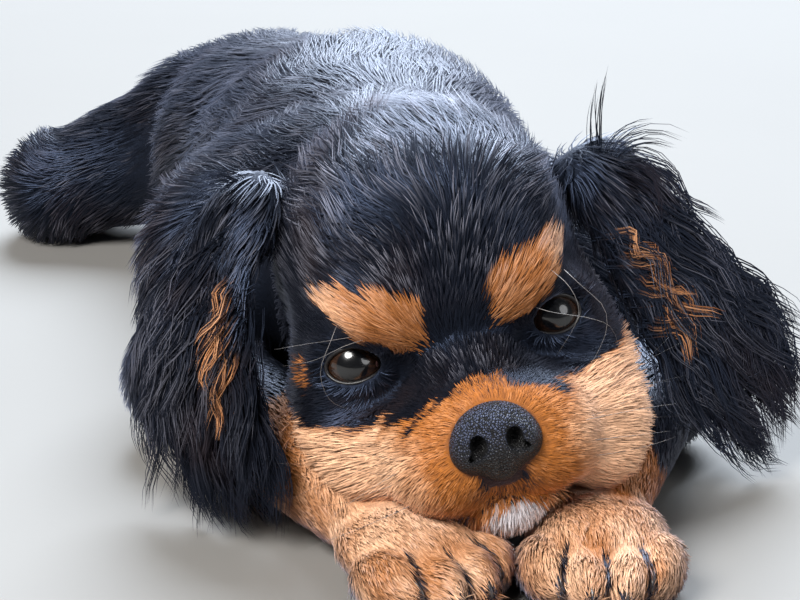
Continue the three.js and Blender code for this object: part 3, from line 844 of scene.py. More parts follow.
@dataclass(frozen=True)
class Markings:
    """The black and tan pattern, the same on skin and coat.

    Each point gets four masks: tan, pale (which lightens the tan to fawn), white and light tips,
    which on the crown and the body are painted sheen.
    """

    anatomy: Anatomy
    spot_start: Vec = (14.5, 13.7, 7.0)  # across, up, radius
    spot_end: Vec = (24.8, 17.2, 4.0)
    spot_edge: float = 0.9
    ragged: float = 0.55  # how far the borders wander
    dark: tuple[tuple[Ball, float, float], ...] = (  # where the tan is darker, by how much, and its edge
        (Ball((0.0, -38.0, -23.0), (9.0, 8.0, 6.0)), 0.42, 3.0),
        (Ball((0.0, -39.5, -20.0), (5.6, 5.0, 2.9)), 0.9, 0.7),
        (Ball((0.0, -38.0, -10.8), (10.6, 8.5, 8.9)), 0.85, 0.6),
        (Ball((0.0, -29.0, -2.0), (9.0, 4.5, 4.5)), 0.42, 2.5),
    )
    temple: Ball = Ball((-39.5, 5.0, 0.0), (7.0, 9.0, 4.0))
    chin: Ball = Ball((0.8, -33.0, -35.5), (8.8, 9.0, 7.8))
    frosted: Ball = Ball((1.0, -19.0, 2.0), (14.0, 9.0, 8.0))
    mask_across: tuple[float, ...] = (
        -40, -35, -28, -24, -20, -17, -14, -11, -8, -4, 1, 5, 9, 13, 16, 19, 23, 27, 31, 35, 40,
    )
    mask_height: tuple[float, ...] = (
        -11.0, -9.9, -9.8, -9.4, -8.1, -6.6, -5.0, -3.3, -1.9, -0.2, 0.7, -0.4, -2.2, -4.2, -6.3, -7.8, -9.5,
        -10.0, -8.5, -9.0, -9.8,
    )
    bridge_across: tuple[float, ...] = (0, 5, 9, 12, 15, 19, 22)
    bridge_end: tuple[float, ...] = (-25.8, -26.6, -27.0, -27.4, -26.4, -22.5, -17.0)

    def brow(self, q: Points) -> Values:
        """The tan spot over each eye."""
        start, end = np.array(self.spot_start), np.array(self.spot_end)
        flat = np.stack([np.abs(q[:, 0]), q[:, 2]], -1)
        axis = (end - start)[:2]
        t = np.clip((flat - start[:2]) @ axis / (axis @ axis), 0, 1)
        reach = lengths(flat - start[:2] - t[:, None] * axis) - mixed(start[2], end[2], t)
        return ramp(reach, self.spot_edge, -self.spot_edge) * ramp(q[:, 1], 14, 6)

    def cheek(self, q: Points) -> Values:
        """The tan muzzle and cheeks, below the black mask."""
        top = np.interp(q[:, 0], self.mask_across, self.mask_height)
        low = ramp(q[:, 2] - top, 1.1, -1.1)
        wide = np.abs(q[:, 0])
        bridge = ramp(q[:, 1] - np.interp(wide, self.bridge_across, self.bridge_end), 1.2, -1.2)
        low = np.minimum(low, mixed(1.0, bridge, ramp(wide, 21, 19) * ramp(q[:, 2], -11, -8)))
        front = ramp(q[:, 1] + 0.25 * (q[:, 2] + 10), 15, 9)
        temple = 0.47 * ramp(self.temple(q), 2.5, -2.5)
        return np.maximum(low * front, temple)

    def light_tips(self, q: Points) -> Values:
        """Where the head's black hair ends in light tips: over the muzzle, and higher up on the crown as
        painted sheen.
        """
        bridge = 0.6 * ramp(self.frosted(q), 1.0, -5.0)
        return np.maximum(bridge, 0.60 * ramp(q[:, 2], 11, 24))

    def at(self, p: Points) -> Points:
        """The four masks at some points."""
        names, shares = self.anatomy.shares(p)
        regions = dict(zip(names, shares))
        head = regions["head"]
        q = self.anatomy.head.placing.inward(p)
        rough = q + np.stack([Wander(7.0, k)(q) for k in (31, 32, 33)], -1) * self.ragged
        brow, cheek = self.brow(rough), self.cheek(rough)
        tan = np.maximum(brow, cheek) * head
        for region in self.anatomy.regions():
            tan = tan + region.tan(p) * regions[region.name]
        under_tail = ramp(self.anatomy.tail(p), 6, 2) * ramp(p[:, 2], 14, 6)
        under_tail = under_tail * ramp(p[:, 1], 250, 262) * ramp(p[:, 1], 300, 285)
        tan = np.clip(tan + under_tail * 0.9, 0, 1)
        for form, share, edge in self.dark:
            tan = tan * (1 - share * ramp(form(q), edge, -edge))
        wide = np.abs(rough[:, 0])
        cheek_fawn = cheek * ramp(wide, 12, 25) * ramp(rough[:, 2], -4, -13)
        fawn = np.maximum(cheek_fawn, brow * (0.20 + 0.8 * ramp(wide, 20, 29)))
        paws = [leg.name + "_paw" for leg in self.anatomy.legs]
        limbs = regions["foreleg_right_lower"] * 0.5 + sum(regions[paw] for paw in paws)
        pale = fawn * head * 0.95 + limbs * (0.70 + 0.25 * Wander(16.0, 41)(p))
        white = ramp(self.chin(q), 1.5, -2.0) * head
        # Bands that break up the light tips, so that the painted sheen lies in waves.
        streaks = ramp(Wander(10.0, 71)(q * np.array([1.0, 0.5, 1.0])), -0.3, 0.6)
        # Off the head, the black hair gets a third of the light tips everywhere: painted sheen.
        tips = mixed(0.30, self.light_tips(q), head) * mixed(0.4, 1.0, streaks)
        clefts = sum(leg.paw.between_toes(p) * regions[paw] for leg, paw in zip(self.anatomy.legs, paws))
        # The tan goes dark in the clefts between the toes (painted shade) and round the claws.
        return np.stack([tan * (1 - 0.75 * clefts), np.clip(pale, 0, 1), white, tips], -1)


# Meshes


def batched(call: Callable[[Points], object], p: Points) -> list:
    """What a call gives for many points, a batch at a time."""
    return [call(p[k : k + BATCH]) for k in range(0, len(p), BATCH)]


def evaluated(form: Form, p: Points) -> Values:
    """A form's values at many points."""
    return np.concatenate(batched(form, p))


@dataclass(frozen=True)
class Grid:
    """Lines of a box grid, closer where the shape is fine. Each holds a multiple of `block` cells."""

    x: Values
    y: Values
    z: Values
    block: int = 4

    @classmethod
    def spaced(cls, *spans: Sequence[Span]) -> "Grid":
        """A grid from the spans of each axis."""
        axes = []
        for runs in spans:
            lines = np.concatenate([np.arange(start, stop, pace) for start, stop, pace in runs])
            extra = -(len(lines) - 1) % cls.block
            tail = lines[-1] + runs[-1][2] * np.arange(1, extra + 1)
            axes.append(np.concatenate([lines, tail]))
        return cls(*axes)

    def sampled(self, form: Form) -> Values:
        """The form's values on the grid, worked out in full only near its surface."""
        lines, block = (self.x, self.y, self.z), self.block
        rough = np.stack(np.meshgrid(*(a[::block] for a in lines), indexing="ij"), -1)
        corner = evaluated(form, rough.reshape(-1, 3)).reshape(rough.shape[:3])
        steps = np.meshgrid(*(np.diff(a[::block]) for a in lines), indexing="ij")
        reach = np.sqrt(sum(s**2 for s in steps))
        nearest = np.full(reach.shape, np.inf)
        for i, j, k in np.ndindex(2, 2, 2):
            part = corner[i : i + reach.shape[0], j : j + reach.shape[1], k : k + reach.shape[2]]
            nearest = np.minimum(nearest, np.abs(part))
        near = nearest < reach
        values = corner[:-1, :-1, :-1]
        for axis in range(3):
            near, values = near.repeat(block, axis), values.repeat(block, axis)
        near = np.pad(near, [(0, 1)] * 3, mode="edge")
        values = np.pad(values, [(0, 1)] * 3, mode="edge")
        i, j, k = np.nonzero(near)
        values[i, j, k] = evaluated(form, np.stack([self.x[i], self.y[j], self.z[k]], -1))
        return values

    def surface(self, form: Form) -> tuple[Points, np.ndarray]:
        """The form's surface as a net of four-sided faces.

        Args:
            form: The form to net, which has to lie inside the grid.

        Returns:
            Points, and the four points of each face, counted anticlockwise from outside.
        """
        values = self.sampled(form)
        inside = values < 0
        shape = tuple(n - 1 for n in values.shape)
        corners = list(np.ndindex(2, 2, 2))
        count = np.zeros(shape, int)
        for i, j, k in corners:
            count += inside[i : i + shape[0], j : j + shape[1], k : k + shape[2]]
        active = (count > 0) & (count < 8)
        cells = np.argwhere(active)
        index = np.full(shape, -1)
        index[active] = np.arange(len(cells))
        spots, heights = [], []
        for offset in corners:
            at = cells + offset
            spots.append(np.stack([self.x[at[:, 0]], self.y[at[:, 1]], self.z[at[:, 2]]], -1))
            heights.append(values[at[:, 0], at[:, 1], at[:, 2]])
        total, crossings = np.zeros((len(cells), 3)), np.zeros(len(cells))
        for a in range(8):
            for bit in (1, 2, 4):
                b = a | bit
                if b == a:
                    continue
                crosses = (heights[a] < 0) != (heights[b] < 0)
                gap = np.where(crosses, heights[a] - heights[b], 1.0)
                share = (heights[a] / gap)[:, None]
                total += np.where(crosses[:, None], mixed(spots[a], spots[b], share), 0.0)
                crossings += crosses
        points = total / crossings[:, None]
        return points, self._faces(inside, index)

    @staticmethod
    def _faces(inside: np.ndarray, index: np.ndarray) -> np.ndarray:
        """One face for each grid edge that the surface crosses."""
        faces = []
        for axis in range(3):
            b, c = (axis + 1) % 3, (axis + 2) % 3
            low, high = [slice(None)] * 3, [slice(None)] * 3
            low[axis], high[axis] = slice(None, -1), slice(1, None)
            change = inside[tuple(low)] != inside[tuple(high)]
            edge = np.argwhere(change)
            edge = edge[(edge[:, b] > 0) & (edge[:, c] > 0)]
            edge = edge[(edge[:, b] < index.shape[b]) & (edge[:, c] < index.shape[c])]
            ring = []
            for back_b, back_c in ((1, 1), (0, 1), (0, 0), (1, 0)):
                cell = edge.copy()
                cell[:, b] -= back_b
                cell[:, c] -= back_c
                ring.append(index[cell[:, 0], cell[:, 1], cell[:, 2]])
            face = np.stack(ring, -1)
            outward = inside[edge[:, 0], edge[:, 1], edge[:, 2]]
            faces.append(np.where(outward[:, None], face, face[:, ::-1]))
        return np.concatenate(faces)


def point_normals(points: Points, faces: np.ndarray) -> Points:
    """Normals of the points of a net of four-sided faces."""
    across = points[faces[:, 2]] - points[faces[:, 0]]
    down = points[faces[:, 3]] - points[faces[:, 1]]
    normal = np.cross(across, down)
    total = np.zeros_like(points)
    for corner in range(4):
        for k in range(3):
            total[:, k] += np.bincount(faces[:, corner], normal[:, k], len(points))
    return unit(total)


@dataclass(frozen=True)
class Shell:
    """An unwrap of a rounded part: directions from its middle, on an octahedron laid flat."""

    centre: Vec
    radii: Vec

    def unwrapped(self, p: Points) -> Points:
        """Places on the map, from 0.01 to 0.99."""
        v = (p - np.asarray(self.centre)) / self.radii
        v = v / np.abs(v).sum(1, keepdims=True)
        flat = v[:, :2]
        sign = np.where(flat < 0, -1.0, 1.0)
        folded = (1.0 - np.abs(flat[:, ::-1])) * sign
        flat = np.where(v[:, 2:] < 0, folded, flat)
        return 0.5 + 0.49 * flat


@dataclass
class Draft:
    """A mesh to be made: points in the puppy's frame, faces by their number of sides, and masks."""

    points: Points
    faces: list[np.ndarray]
    masks: dict[str, np.ndarray] = field(default_factory=dict)
    unwrap: Points | None = None
    normals: Points | None = None

    @property
    def triangles(self) -> int:
        """How many triangles the faces come to."""
        return sum(len(f) * (f.shape[1] - 2) for f in self.faces)

    def laid(self, *placings: Placing) -> "Draft":
        """The draft taken out of the frames of the parts that it lies in, the innermost first."""
        for placing in placings:
            self.points = placing.outward(self.points)
        return self

    @classmethod
    def joined(cls, drafts: Sequence["Draft"]) -> "Draft":
        """Several drafts with the same masks as one."""
        starts = np.cumsum([0] + [len(d.points) for d in drafts])
        faces = [f + start for d, start in zip(drafts, starts) for f in d.faces]
        masks = {name: np.concatenate([d.masks[name] for d in drafts]) for name in drafts[0].masks}
        return cls(np.concatenate([d.points for d in drafts]), faces, masks)


def swept(line: Points, side: Points, wide: Values, high: Values, around: int, ring: bool = False) -> Draft:
    """A tube of oval section along a line.

    Args:
        line: The middle of each section.
        side: The way the sections' width runs.
        wide: Half the width of each section.
        high: Half the height of each section.
        around: How many points each section has.
        ring: Whether the line closes on itself. A line that doesn't is closed at its ends.

    Returns:
        The tube, in the line's own frame.
    """
    ahead = unit(np.roll(line, -1, 0) - np.roll(line, 1, 0)) if ring else unit(np.gradient(line, axis=0))
    side = unit(side - ahead * np.sum(side * ahead, -1, keepdims=True))
    up = np.cross(ahead, side)
    turn = np.linspace(0, 2 * math.pi, around, endpoint=False)[None, :, None]
    section = (side * wide[:, None])[:, None] * np.cos(turn) + (up * high[:, None])[:, None] * np.sin(turn)
    points = (line[:, None] + section).reshape(-1, 3)
    steps = len(line)
    row, column = np.meshgrid(np.arange(steps if ring else steps - 1), np.arange(around), indexing="ij")
    a, b = row * around + column, row * around + (column + 1) % around
    c, d = (a + around) % len(points), (b + around) % len(points)
    faces = [np.stack([a, b, d, c], -1).reshape(-1, 4)]
    if not ring:
        column, size = np.arange(around), len(points)
        after, last = (column + 1) % around, size - around
        points = np.concatenate([points, line[:1], line[-1:]])
        faces.append(np.concatenate([
            np.stack([np.full(around, size), after, column], -1),
            np.stack([np.full(around, size + 1), last + column, last + after], -1),
        ]))
    return Draft(points, faces)


@dataclass
class Strands:
    """Hairs, tufts and other slim tapered things as three-sided blades.

    line holds the middle of each strand at even steps, width its full width at each step but the
    last, which is the tip, and out the way its ridge faces. With fade, tan comes in towards the tip.
    """

    line: Points
    width: Points
    out: Points
    marks: Points
    chance: Values
    thickness: float = 0.38
    fade: float = 0.0
    lean: float = 0.5  # how far the shading turns from the middle of a blade to its edges

    @property
    def tip_steps(self) -> int:
        """How many rings a strand has before its tip."""
        return self.line.shape[1] - 1

    @property
    def triangles_each(self) -> int:
        """Triangles in one strand."""
        return 6 * (self.tip_steps - 1) + 4

    def picked(self, chosen: np.ndarray, steps: Sequence[int] | None = None) -> "Strands":
        """Some of the strands, with all of their steps or only those named."""
        line, width = self.line[chosen], self.width[chosen]
        if steps is not None:
            line, width = line[:, steps], width[:, steps[:-1]]
        rest = self.out[chosen], self.marks[chosen], self.chance[chosen]
        return Strands(line, width, *rest, self.thickness, self.fade)

    @staticmethod
    def together(groups: Sequence["Strands"]) -> "Strands":
        """Groups with the same number of steps as one."""
        names = ("line", "width", "out", "marks", "chance")
        joined = (np.concatenate([getattr(group, name) for group in groups]) for name in names)
        return Strands(*joined, groups[0].thickness, groups[0].fade)

    def draft(self, shell: Shell | None = None, patch: float = 0.003) -> Draft:
        """The strands as a mesh.

        Args:
            shell: The unwrap of the skin under them, on which each strand gets a patch of its own.
            patch: The patch's size on that map.

        Returns:
            A draft with the masks that the coat's material reads.
        """
        count, rings = len(self.line), self.tip_steps
        ahead = np.empty_like(self.line)
        ahead[:, :-1] = np.diff(self.line, axis=1)
        ahead[:, -1] = ahead[:, -2]
        ahead = unit(ahead)
        side = unit(np.cross(ahead, self.out[:, None, :]))
        up = np.cross(side, ahead)
        half = self.width[:, :rings, None] / 2
        middle, side, up = self.line[:, :rings], side[:, :rings], up[:, :rings]
        ridge = middle + up * half * 2 * self.thickness
        ring = np.stack([middle - side * half, middle + side * half, ridge], 2)
        body = ring.reshape(count, rings * 3, 3)
        points = np.concatenate([body, self.line[:, -1:]], 1)
        facing = unit(up + self.out[:, None, :])
        turned = [unit(facing - side * self.lean), unit(facing + side * self.lean), facing]
        normals = np.concatenate([np.stack(turned, 2).reshape(count, rings * 3, 3), facing[:, -1:]], 1)
        size = rings * 3 + 1
        start = (np.arange(count) * size)[:, None, None]
        edges = ((0, 2), (2, 1), (1, 0))
        last = 3 * (rings - 1)
        quads = [[k + a, k + b, k + 3 + b, k + 3 + a] for k in range(0, last, 3) for a, b in edges]
        tris = [[0, 1, 2]] + [[last + a, last + b, size - 1] for a, b in edges]
        faces = [(start + np.array(tris)).reshape(-1, 3), (start + np.array(quads)).reshape(-1, 4)]
        along = np.append(np.repeat(np.arange(rings) / rings, 3), 1.0)
        strand = np.zeros((count, size, 4))
        strand[..., 0] = along
        strand[..., 1] = self.chance[:, None]
        strand[..., 2] = self.fade
        masks = {"marks": np.repeat(self.marks, size, 0), "strand": strand.reshape(-1, 4)}
        unwrap = None
        if shell is not None:
            across = np.append(np.tile([0.0, 1.0, 0.5], rings), 0.5)
            local = np.stack([across - 0.5, along - 0.5], -1) * patch
            unwrap = (shell.unwrapped(self.line[:, 0])[:, None] + local[None]).reshape(-1, 2)
        return Draft(points.reshape(-1, 3), faces, masks, unwrap, normals.reshape(-1, 3))


class Bench:
    def __init__(self) -> None:
        """Finds the part's frame from the eyes, which are at home in both frames."""
        corners = [np.array(c) for name in ("eye_left", "eye_right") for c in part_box(name)]
        self.origin = sum(corners) / 4 - np.array([0.0, 0.0, EYE_HEIGHT]) * MILLIMETRE
        self.triangles = 0

    def at(self, p: Sequence[float]) -> Vector:
        """A point of the puppy's frame in the part's."""
        return Vector(np.asarray(p, float) * MILLIMETRE + self.origin)

    def mesh(self, name: str, draft: Draft, material: bpy.types.Material) -> bpy.types.Object:
        """A draft as an object.

        Args:
            name: The object's name.
            draft: Its shape and masks.
            material: What it wears.

        Returns:
            The object, smooth shaded and linked to the scene.
        """
        mesh = bpy.data.meshes.new(name)
        count = [len(f) for f in draft.faces]
        sides = np.concatenate([np.full(n, f.shape[1]) for n, f in zip(count, draft.faces)])
        corners = np.concatenate([f.ravel() for f in draft.faces])
        mesh.vertices.add(len(draft.points))
        mesh.loops.add(len(corners))
        mesh.polygons.add(len(sides))
        mesh.vertices.foreach_set("co", (draft.points * MILLIMETRE + self.origin).ravel())
        mesh.polygons.foreach_set("loop_start", np.concatenate([[0], np.cumsum(sides)[:-1]]))
        mesh.loops.foreach_set("vertex_index", corners)
        if draft.unwrap is not None:
            layer = mesh.uv_layers.new(name="OFBake")
            layer.data.foreach_set("uv", draft.unwrap[corners].ravel())
        for mask, values in draft.masks.items():
            attribute = mesh.attributes.new(mask, "FLOAT_COLOR", "POINT")
            attribute.data.foreach_set("color", np.asarray(values, np.float32).ravel())
        mesh.update(calc_edges=True)
        mesh.shade_smooth()
        if draft.normals is not None:
            mesh.normals_split_custom_set_from_vertices(draft.normals)
        mesh.materials.append(material)
        made = bpy.data.objects.new(name, mesh)
        bpy.context.scene.collection.objects.link(made)
        return made

    def piece(
        self, name: str, draft: Draft, material: bpy.types.Material, slot: Slot, nodes: Iterable[str] = ()
    ) -> bpy.types.Object:
        """A draft as a piece of the puppy, which stands for some of its solids."""
        made = self.mesh(name, draft, material)
        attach(made, "root")
        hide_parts(*nodes)
        self.triangles += draft.triangles
        log.info("%s: %d triangles", name, draft.triangles)
        return made


# Finishes


class Board:
    """A node tree, with short calls for adding nodes and joining them."""

    def __init__(self, tree: bpy.types.NodeTree) -> None:
        """Takes a tree and empties it."""
        self.tree = tree
        tree.nodes.clear()

    def node(self, kind: str, inputs: dict | None = None, **settings: object) -> bpy.types.Node:
        """Adds a node.

        Args:
            kind: The node's Blender type, without "ShaderNode".
            inputs: A value or a socket for each input, by name or number.
            settings: The node's own settings.

        Returns:
            The node.
        """
        made = self.tree.nodes.new(f"ShaderNode{kind}")
        for name, value in settings.items():
            setattr(made, name, value)
        for name, value in (inputs or {}).items():
            if isinstance(value, bpy.types.NodeSocket):
                self.tree.links.new(value, made.inputs[name])
            else:
                made.inputs[name].default_value = value
        return made

    def plus(self, a: object, b: object, clamp: bool = False) -> Socket:
        """Two numbers added."""
        return self.node("Math", {0: a, 1: b}, operation="ADD", use_clamp=clamp).outputs[0]

    def minus(self, a: object, b: object) -> Socket:
        """The second number taken from the first."""
        return self.node("Math", {0: a, 1: b}, operation="SUBTRACT").outputs[0]

    def times(self, a: object, b: object) -> Socket:
        """Two numbers multiplied."""
        return self.node("Math", {0: a, 1: b}, operation="MULTIPLY").outputs[0]

    def blend(self, share: object, a: object, b: object, kind: str = "MIX") -> Socket:
        """A blend of two colours."""
        made = self.node("Mix", {0: share, 6: a, 7: b}, data_type="RGBA", blend_type=kind)
        return made.outputs[2]

    def span(self, value: object, low: float, high: float, start: float = 0.0, end: float = 1.0) -> Socket:
        """A value moved smoothly from the range of low and high to that of start and end."""
        inputs = {0: value, 1: low, 2: high, 3: start, 4: end}
        return self.node("MapRange", inputs, interpolation_type="SMOOTHSTEP").outputs[0]

    def place(self) -> Socket:
        """Where on the piece, in metres."""
        return self.node("TexCoord").outputs["Object"]

    def noise(self, where: object, scale: float, detail: float = 2.0, roughness: float = 0.5) -> Socket:
        """Smooth noise from 0 to 1."""
        inputs = {"Vector": where, "Scale": scale, "Detail": detail, "Roughness": roughness}
        return self.node("TexNoise", inputs).outputs[0]

    def mask(self, name: str) -> tuple[Socket, ...]:
        """The four values of one of the mesh's masks."""
        made = self.node("Attribute", attribute_name=name)
        parts = self.node("SeparateColor", {0: made.outputs["Color"]})
        return parts.outputs[0], parts.outputs[1], parts.outputs[2], made.outputs["Alpha"]


class GroupBoard(Board):
    """A shader node group with named inputs and outputs."""

    def __init__(self, name: str, inputs: dict[str, object], outputs: dict[str, str]) -> None:
        """Makes the group.

        Args:
            name: The group's name.
            inputs: The default of each input: a number, or four numbers for a colour.
            outputs: The socket type of each output.
        """
        tree = bpy.data.node_groups.new(name, "ShaderNodeTree")
        super().__init__(tree)
        for label, value in inputs.items():
            kind = "NodeSocketColor" if isinstance(value, tuple) else "NodeSocketFloat"
            socket = tree.interface.new_socket(label, in_out="INPUT", socket_type=kind)
            socket.default_value = value
        for label, kind in outputs.items():
            tree.interface.new_socket(label, in_out="OUTPUT", socket_type=kind)
        self.given = tree.nodes.new("NodeGroupInput").outputs
        self.result = tree.nodes.new("NodeGroupOutput").inputs

    def put(self, label: str, socket: Socket) -> None:
        """Joins a socket to one of the group's outputs."""
        self.tree.links.new(socket, self.result[label])


@dataclass(frozen=True)
class CoatTones:
    """The coat's colours, all linear: black hair, its tip, deep tan, fawn, white and light tips, which are
    partly painted sheen.
    """

    black: Colour = (0.0012, 0.0012, 0.0017, 1)
    black_tip: Colour = (0.0050, 0.0052, 0.0078, 1)
    brown_tip: Colour = (0.0160, 0.0090, 0.0075, 1)
    tan: Colour = (0.43, 0.140, 0.018, 1)
    fawn: Colour = (0.80, 0.47, 0.28, 1)
    white: Colour = (0.66, 0.62, 0.64, 1)
    # light tips: lighter over the bridge of the muzzle, and a painted bluish sheen on the crown, the body
    # and the tops of the ears
    light_tip: Colour = (0.24, 0.24, 0.29, 1)


class Groups:
    """The effects that materials share, each built once."""

    def __init__(self) -> None:
        """Builds every group."""
        self.coat = self._coat(CoatTones())
        self.pebbles = self._pebbles()
        self.mottle = self._mottle()

    @staticmethod
    def _coat(tones: CoatTones) -> bpy.types.NodeTree:
        """Coat colour from the markings, with painted shade at the root of each hair, painted sheen in light
        tips, and varied hair by hair.
        """
        colours = {tone.name.replace("_", " ").title(): getattr(tones, tone.name) for tone in fields(tones)}
        board = GroupBoard(
            "coat_colour",
            colours | {"Root Shade": 0.25, "Variation": 0.28},
            {"Color": "NodeSocketColor", "Height": "NodeSocketFloat", "Tan": "NodeSocketFloat"},
        )
        given = board.given
        tan, pale, white, tips = board.mask("marks")
        along, chance, fade, _ = board.mask("strand")
        place = board.place()
        patchy = board.noise(place, 110.0, 3.0)
        fine = board.noise(place, 900.0, 3.0, 0.65)
        brownish = board.span(board.noise(place, 28.0), 0.48, 0.66)
        ends = board.blend(brownish, given["Black Tip"], given["Brown Tip"])
        outer = board.span(board.plus(along, board.times(patchy, 0.4)), 0.3, 1.25)
        black = board.blend(outer, given["Black"], ends)
        redder = board.span(board.plus(chance, board.minus(patchy, 0.5)), 0.15, 0.95)
        lighter = board.plus(pale, board.times(board.minus(redder, 0.5), given["Variation"]), clamp=True)
        tan = board.times(tan, board.minus(1.0, board.times(fade, board.span(along, 0.6, 0.1))))
        colour = board.blend(tan, black, board.blend(lighter, given["Tan"], given["Fawn"]))
        colour = board.blend(white, colour, given["White"])
        # Light tips, which on the crown, the body and the ears stand for painted sheen.
        lit = board.times(board.times(tips, board.span(along, 0.25, 0.95)), board.span(chance, 0.45, 0.75))
        colour = board.blend(lit, colour, given["Light Tip"])
        shade = board.minus(1.0, board.times(given["Root Shade"], board.span(along, 0.75, 0.0)))
        vary = board.span(board.plus(fine, board.minus(chance, 0.5)), 0.0, 1.0, 0.72, 1.22)
        board.put("Color", board.blend(1.0, colour, board.times(shade, vary), "MULTIPLY"))
        board.put("Height", fine)
        board.put("Tan", tan)
        return board.tree

    @staticmethod
    def _pebbles() -> bpy.types.NodeTree:
        """Pebbled leather of noses and pads: raised cells parted by fine grooves."""
        board = GroupBoard(
            "pebbled_leather",
            {"Scale": 1100.0, "Irregularity": 0.9},
            {"Height": "NodeSocketFloat", "Groove": "NodeSocketFloat", "Tone": "NodeSocketFloat"},
        )
        place = board.place()
        bends = board.node("TexNoise", {"Vector": place, "Scale": 500.0}).outputs[1]
        bent = board.node("VectorMath", {0: bends, 3: 0.0009}, operation="SCALE").outputs[0]
        where = board.node("VectorMath", {0: place, 1: bent}, operation="ADD").outputs[0]
        given = board.given
        sockets = {"Vector": where, "Scale": given["Scale"], "Randomness": given["Irregularity"]}
        cell = board.node("TexVoronoi", sockets, feature="F1")
        edge = board.node("TexVoronoi", sockets, feature="DISTANCE_TO_EDGE")
        groove = board.span(edge.outputs["Distance"], 0.16, 0.0)
        board.put("Height", board.minus(board.span(cell.outputs["Distance"], 0.75, 0.0), groove))
        board.put("Groove", groove)
        board.put("Tone", board.noise(place, 180.0, 3.0))
        return board.tree

    @staticmethod
    def _mottle() -> bpy.types.NodeTree:
        """Soft uneven patches with a fine grain over them."""
        outputs = {"Patches": "NodeSocketFloat", "Grain": "NodeSocketFloat"}
        board = GroupBoard("mottle", {"Scale": 200.0, "Grain": 1500.0}, outputs)
        place = board.place()
        board.put("Patches", board.noise(place, board.given["Scale"], 3.0))
        board.put("Grain", board.noise(place, board.given["Grain"], 2.0, 0.6))
        return board.tree


@dataclass(frozen=True)
class Finish:
    """What a finish has in common: a shader with a few settings of its own."""

    name: str
    settings: tuple[tuple[str, object], ...] = ()
    bump: float = 0.3
    relief: float = 0.0003

    def material(self, groups: Groups) -> bpy.types.Material:
        """The finish as a material."""
        material = bpy.data.materials.new(self.name)
        material.use_nodes = True
        self.paint(Board(material.node_tree), groups)
        return material

    def paint(self, board: Board, groups: Groups) -> None:
        """Fills the material's board."""
        raise NotImplementedError

    def group(self, board: Board, tree: bpy.types.NodeTree, **values: object) -> bpy.types.Node:
        """Places a group in the material, with its own values."""
        made = board.tree.nodes.new("ShaderNodeGroup")
        made.node_tree = tree
        for label, value in values.items():
            made.inputs[label.replace("_", " ")].default_value = value
        return made

    def close(self, board: Board, colour: object, roughness: object, height: object | None = None) -> None:
        """Ends the material with its shader.

        Args:
            board: The material's board.
            colour: The base colour, or a socket with it.
            roughness: The roughness, or a socket with it.
            height: A height for the bump, if it has one.
        """
        shader = board.node("BsdfPrincipled", {"Base Color": colour, "Roughness": roughness})
        for label, value in self.settings:
            shader.inputs[label].default_value = value
        if height is not None:
            bump = board.node("Bump", {"Strength": self.bump, "Distance": self.relief, "Height": height})
            board.tree.links.new(bump.outputs[0], shader.inputs["Normal"])
        board.node("OutputMaterial", {"Surface": shader.outputs[0]})


@dataclass(frozen=True)
class CoatFinish(Finish):
    """Hair and the skin under it, in the puppy's markings."""

    roughness: float = 0.40
    softer: float = 0.30  # how much rougher the tan hair is
    values: tuple[tuple[str, object], ...] = ()

    def paint(self, board: Board, groups: Groups) -> None:
        """Fills the material's board."""
        coat = self.group(board, groups.coat, **dict(self.values))
        rough = board.span(coat.outputs["Height"], 0.2, 0.8, self.roughness - 0.06, self.roughness + 0.08)
        rough = board.plus(rough, board.times(coat.outputs["Tan"], self.softer))
        self.close(board, coat.outputs["Color"], rough, coat.outputs["Height"])


@dataclass(frozen=True)
class LeatherFinish(Finish):
    """Pebbled leather of the nose and the pads, with painted shade in its grooves, and on the nose painted
    shade in its openings and a painted sheen on its top.
    """

    dark: Colour = (0.003, 0.003, 0.004, 1)
    light: Colour = (0.014, 0.013, 0.017, 1)
    # raised: a painted bluish sky sheen on the upper part of the nose
    raised: Colour = (0.070, 0.085, 0.150, 1)
    # painted shade inside the nostrils, the slits and the groove below them
    hollow: Colour = (0.0015, 0.0012, 0.0015, 1)
    cells: float = 1700.0
    roughness: float = 0.40

    def paint(self, board: Board, groups: Groups) -> None:
        """Fills the material's board."""
        pebbles = self.group(board, groups.pebbles, Scale=self.cells)
        tone = board.blend(board.span(pebbles.outputs["Tone"], 0.35, 0.7), self.dark, self.light)
        hollow, raised, _, _ = board.mask("leather")
        # Painted sheen: the upper part of the nose takes the lighter bluish tone.
        tone = board.blend(raised, tone, self.raised)
        # The grooves and the low edges of the cells go dark: painted shade.
        colour = board.blend(board.span(pebbles.outputs["Height"], -0.2, 0.8), self.dark, tone)
        # Painted shade in the nostrils, the slits and the groove.
        colour = board.blend(hollow, colour, self.hollow)
        rough = board.span(pebbles.outputs["Groove"], 0.0, 1.0, self.roughness, self.roughness + 0.25)
        self.close(board, colour, rough, pebbles.outputs["Height"])


@dataclass(frozen=True)
class PlainFinish(Finish):
    """A finish of two near colours in soft patches with a fine grain: lids, claws, whiskers."""

    dark: Colour = (0.01, 0.01, 0.01, 1)
    light: Colour = (0.03, 0.03, 0.03, 1)
    roughness: float = 0.3
    patches: float = 200.0

    def paint(self, board: Board, groups: Groups) -> None:
        """Fills the material's board."""
        mottle = self.group(board, groups.mottle, Scale=self.patches)
        colour = board.blend(board.span(mottle.outputs["Patches"], 0.35, 0.65), self.dark, self.light)
        rough = board.span(mottle.outputs["Grain"], 0.3, 0.7, self.roughness, self.roughness + 0.08)
        self.close(board, colour, rough, mottle.outputs["Grain"])


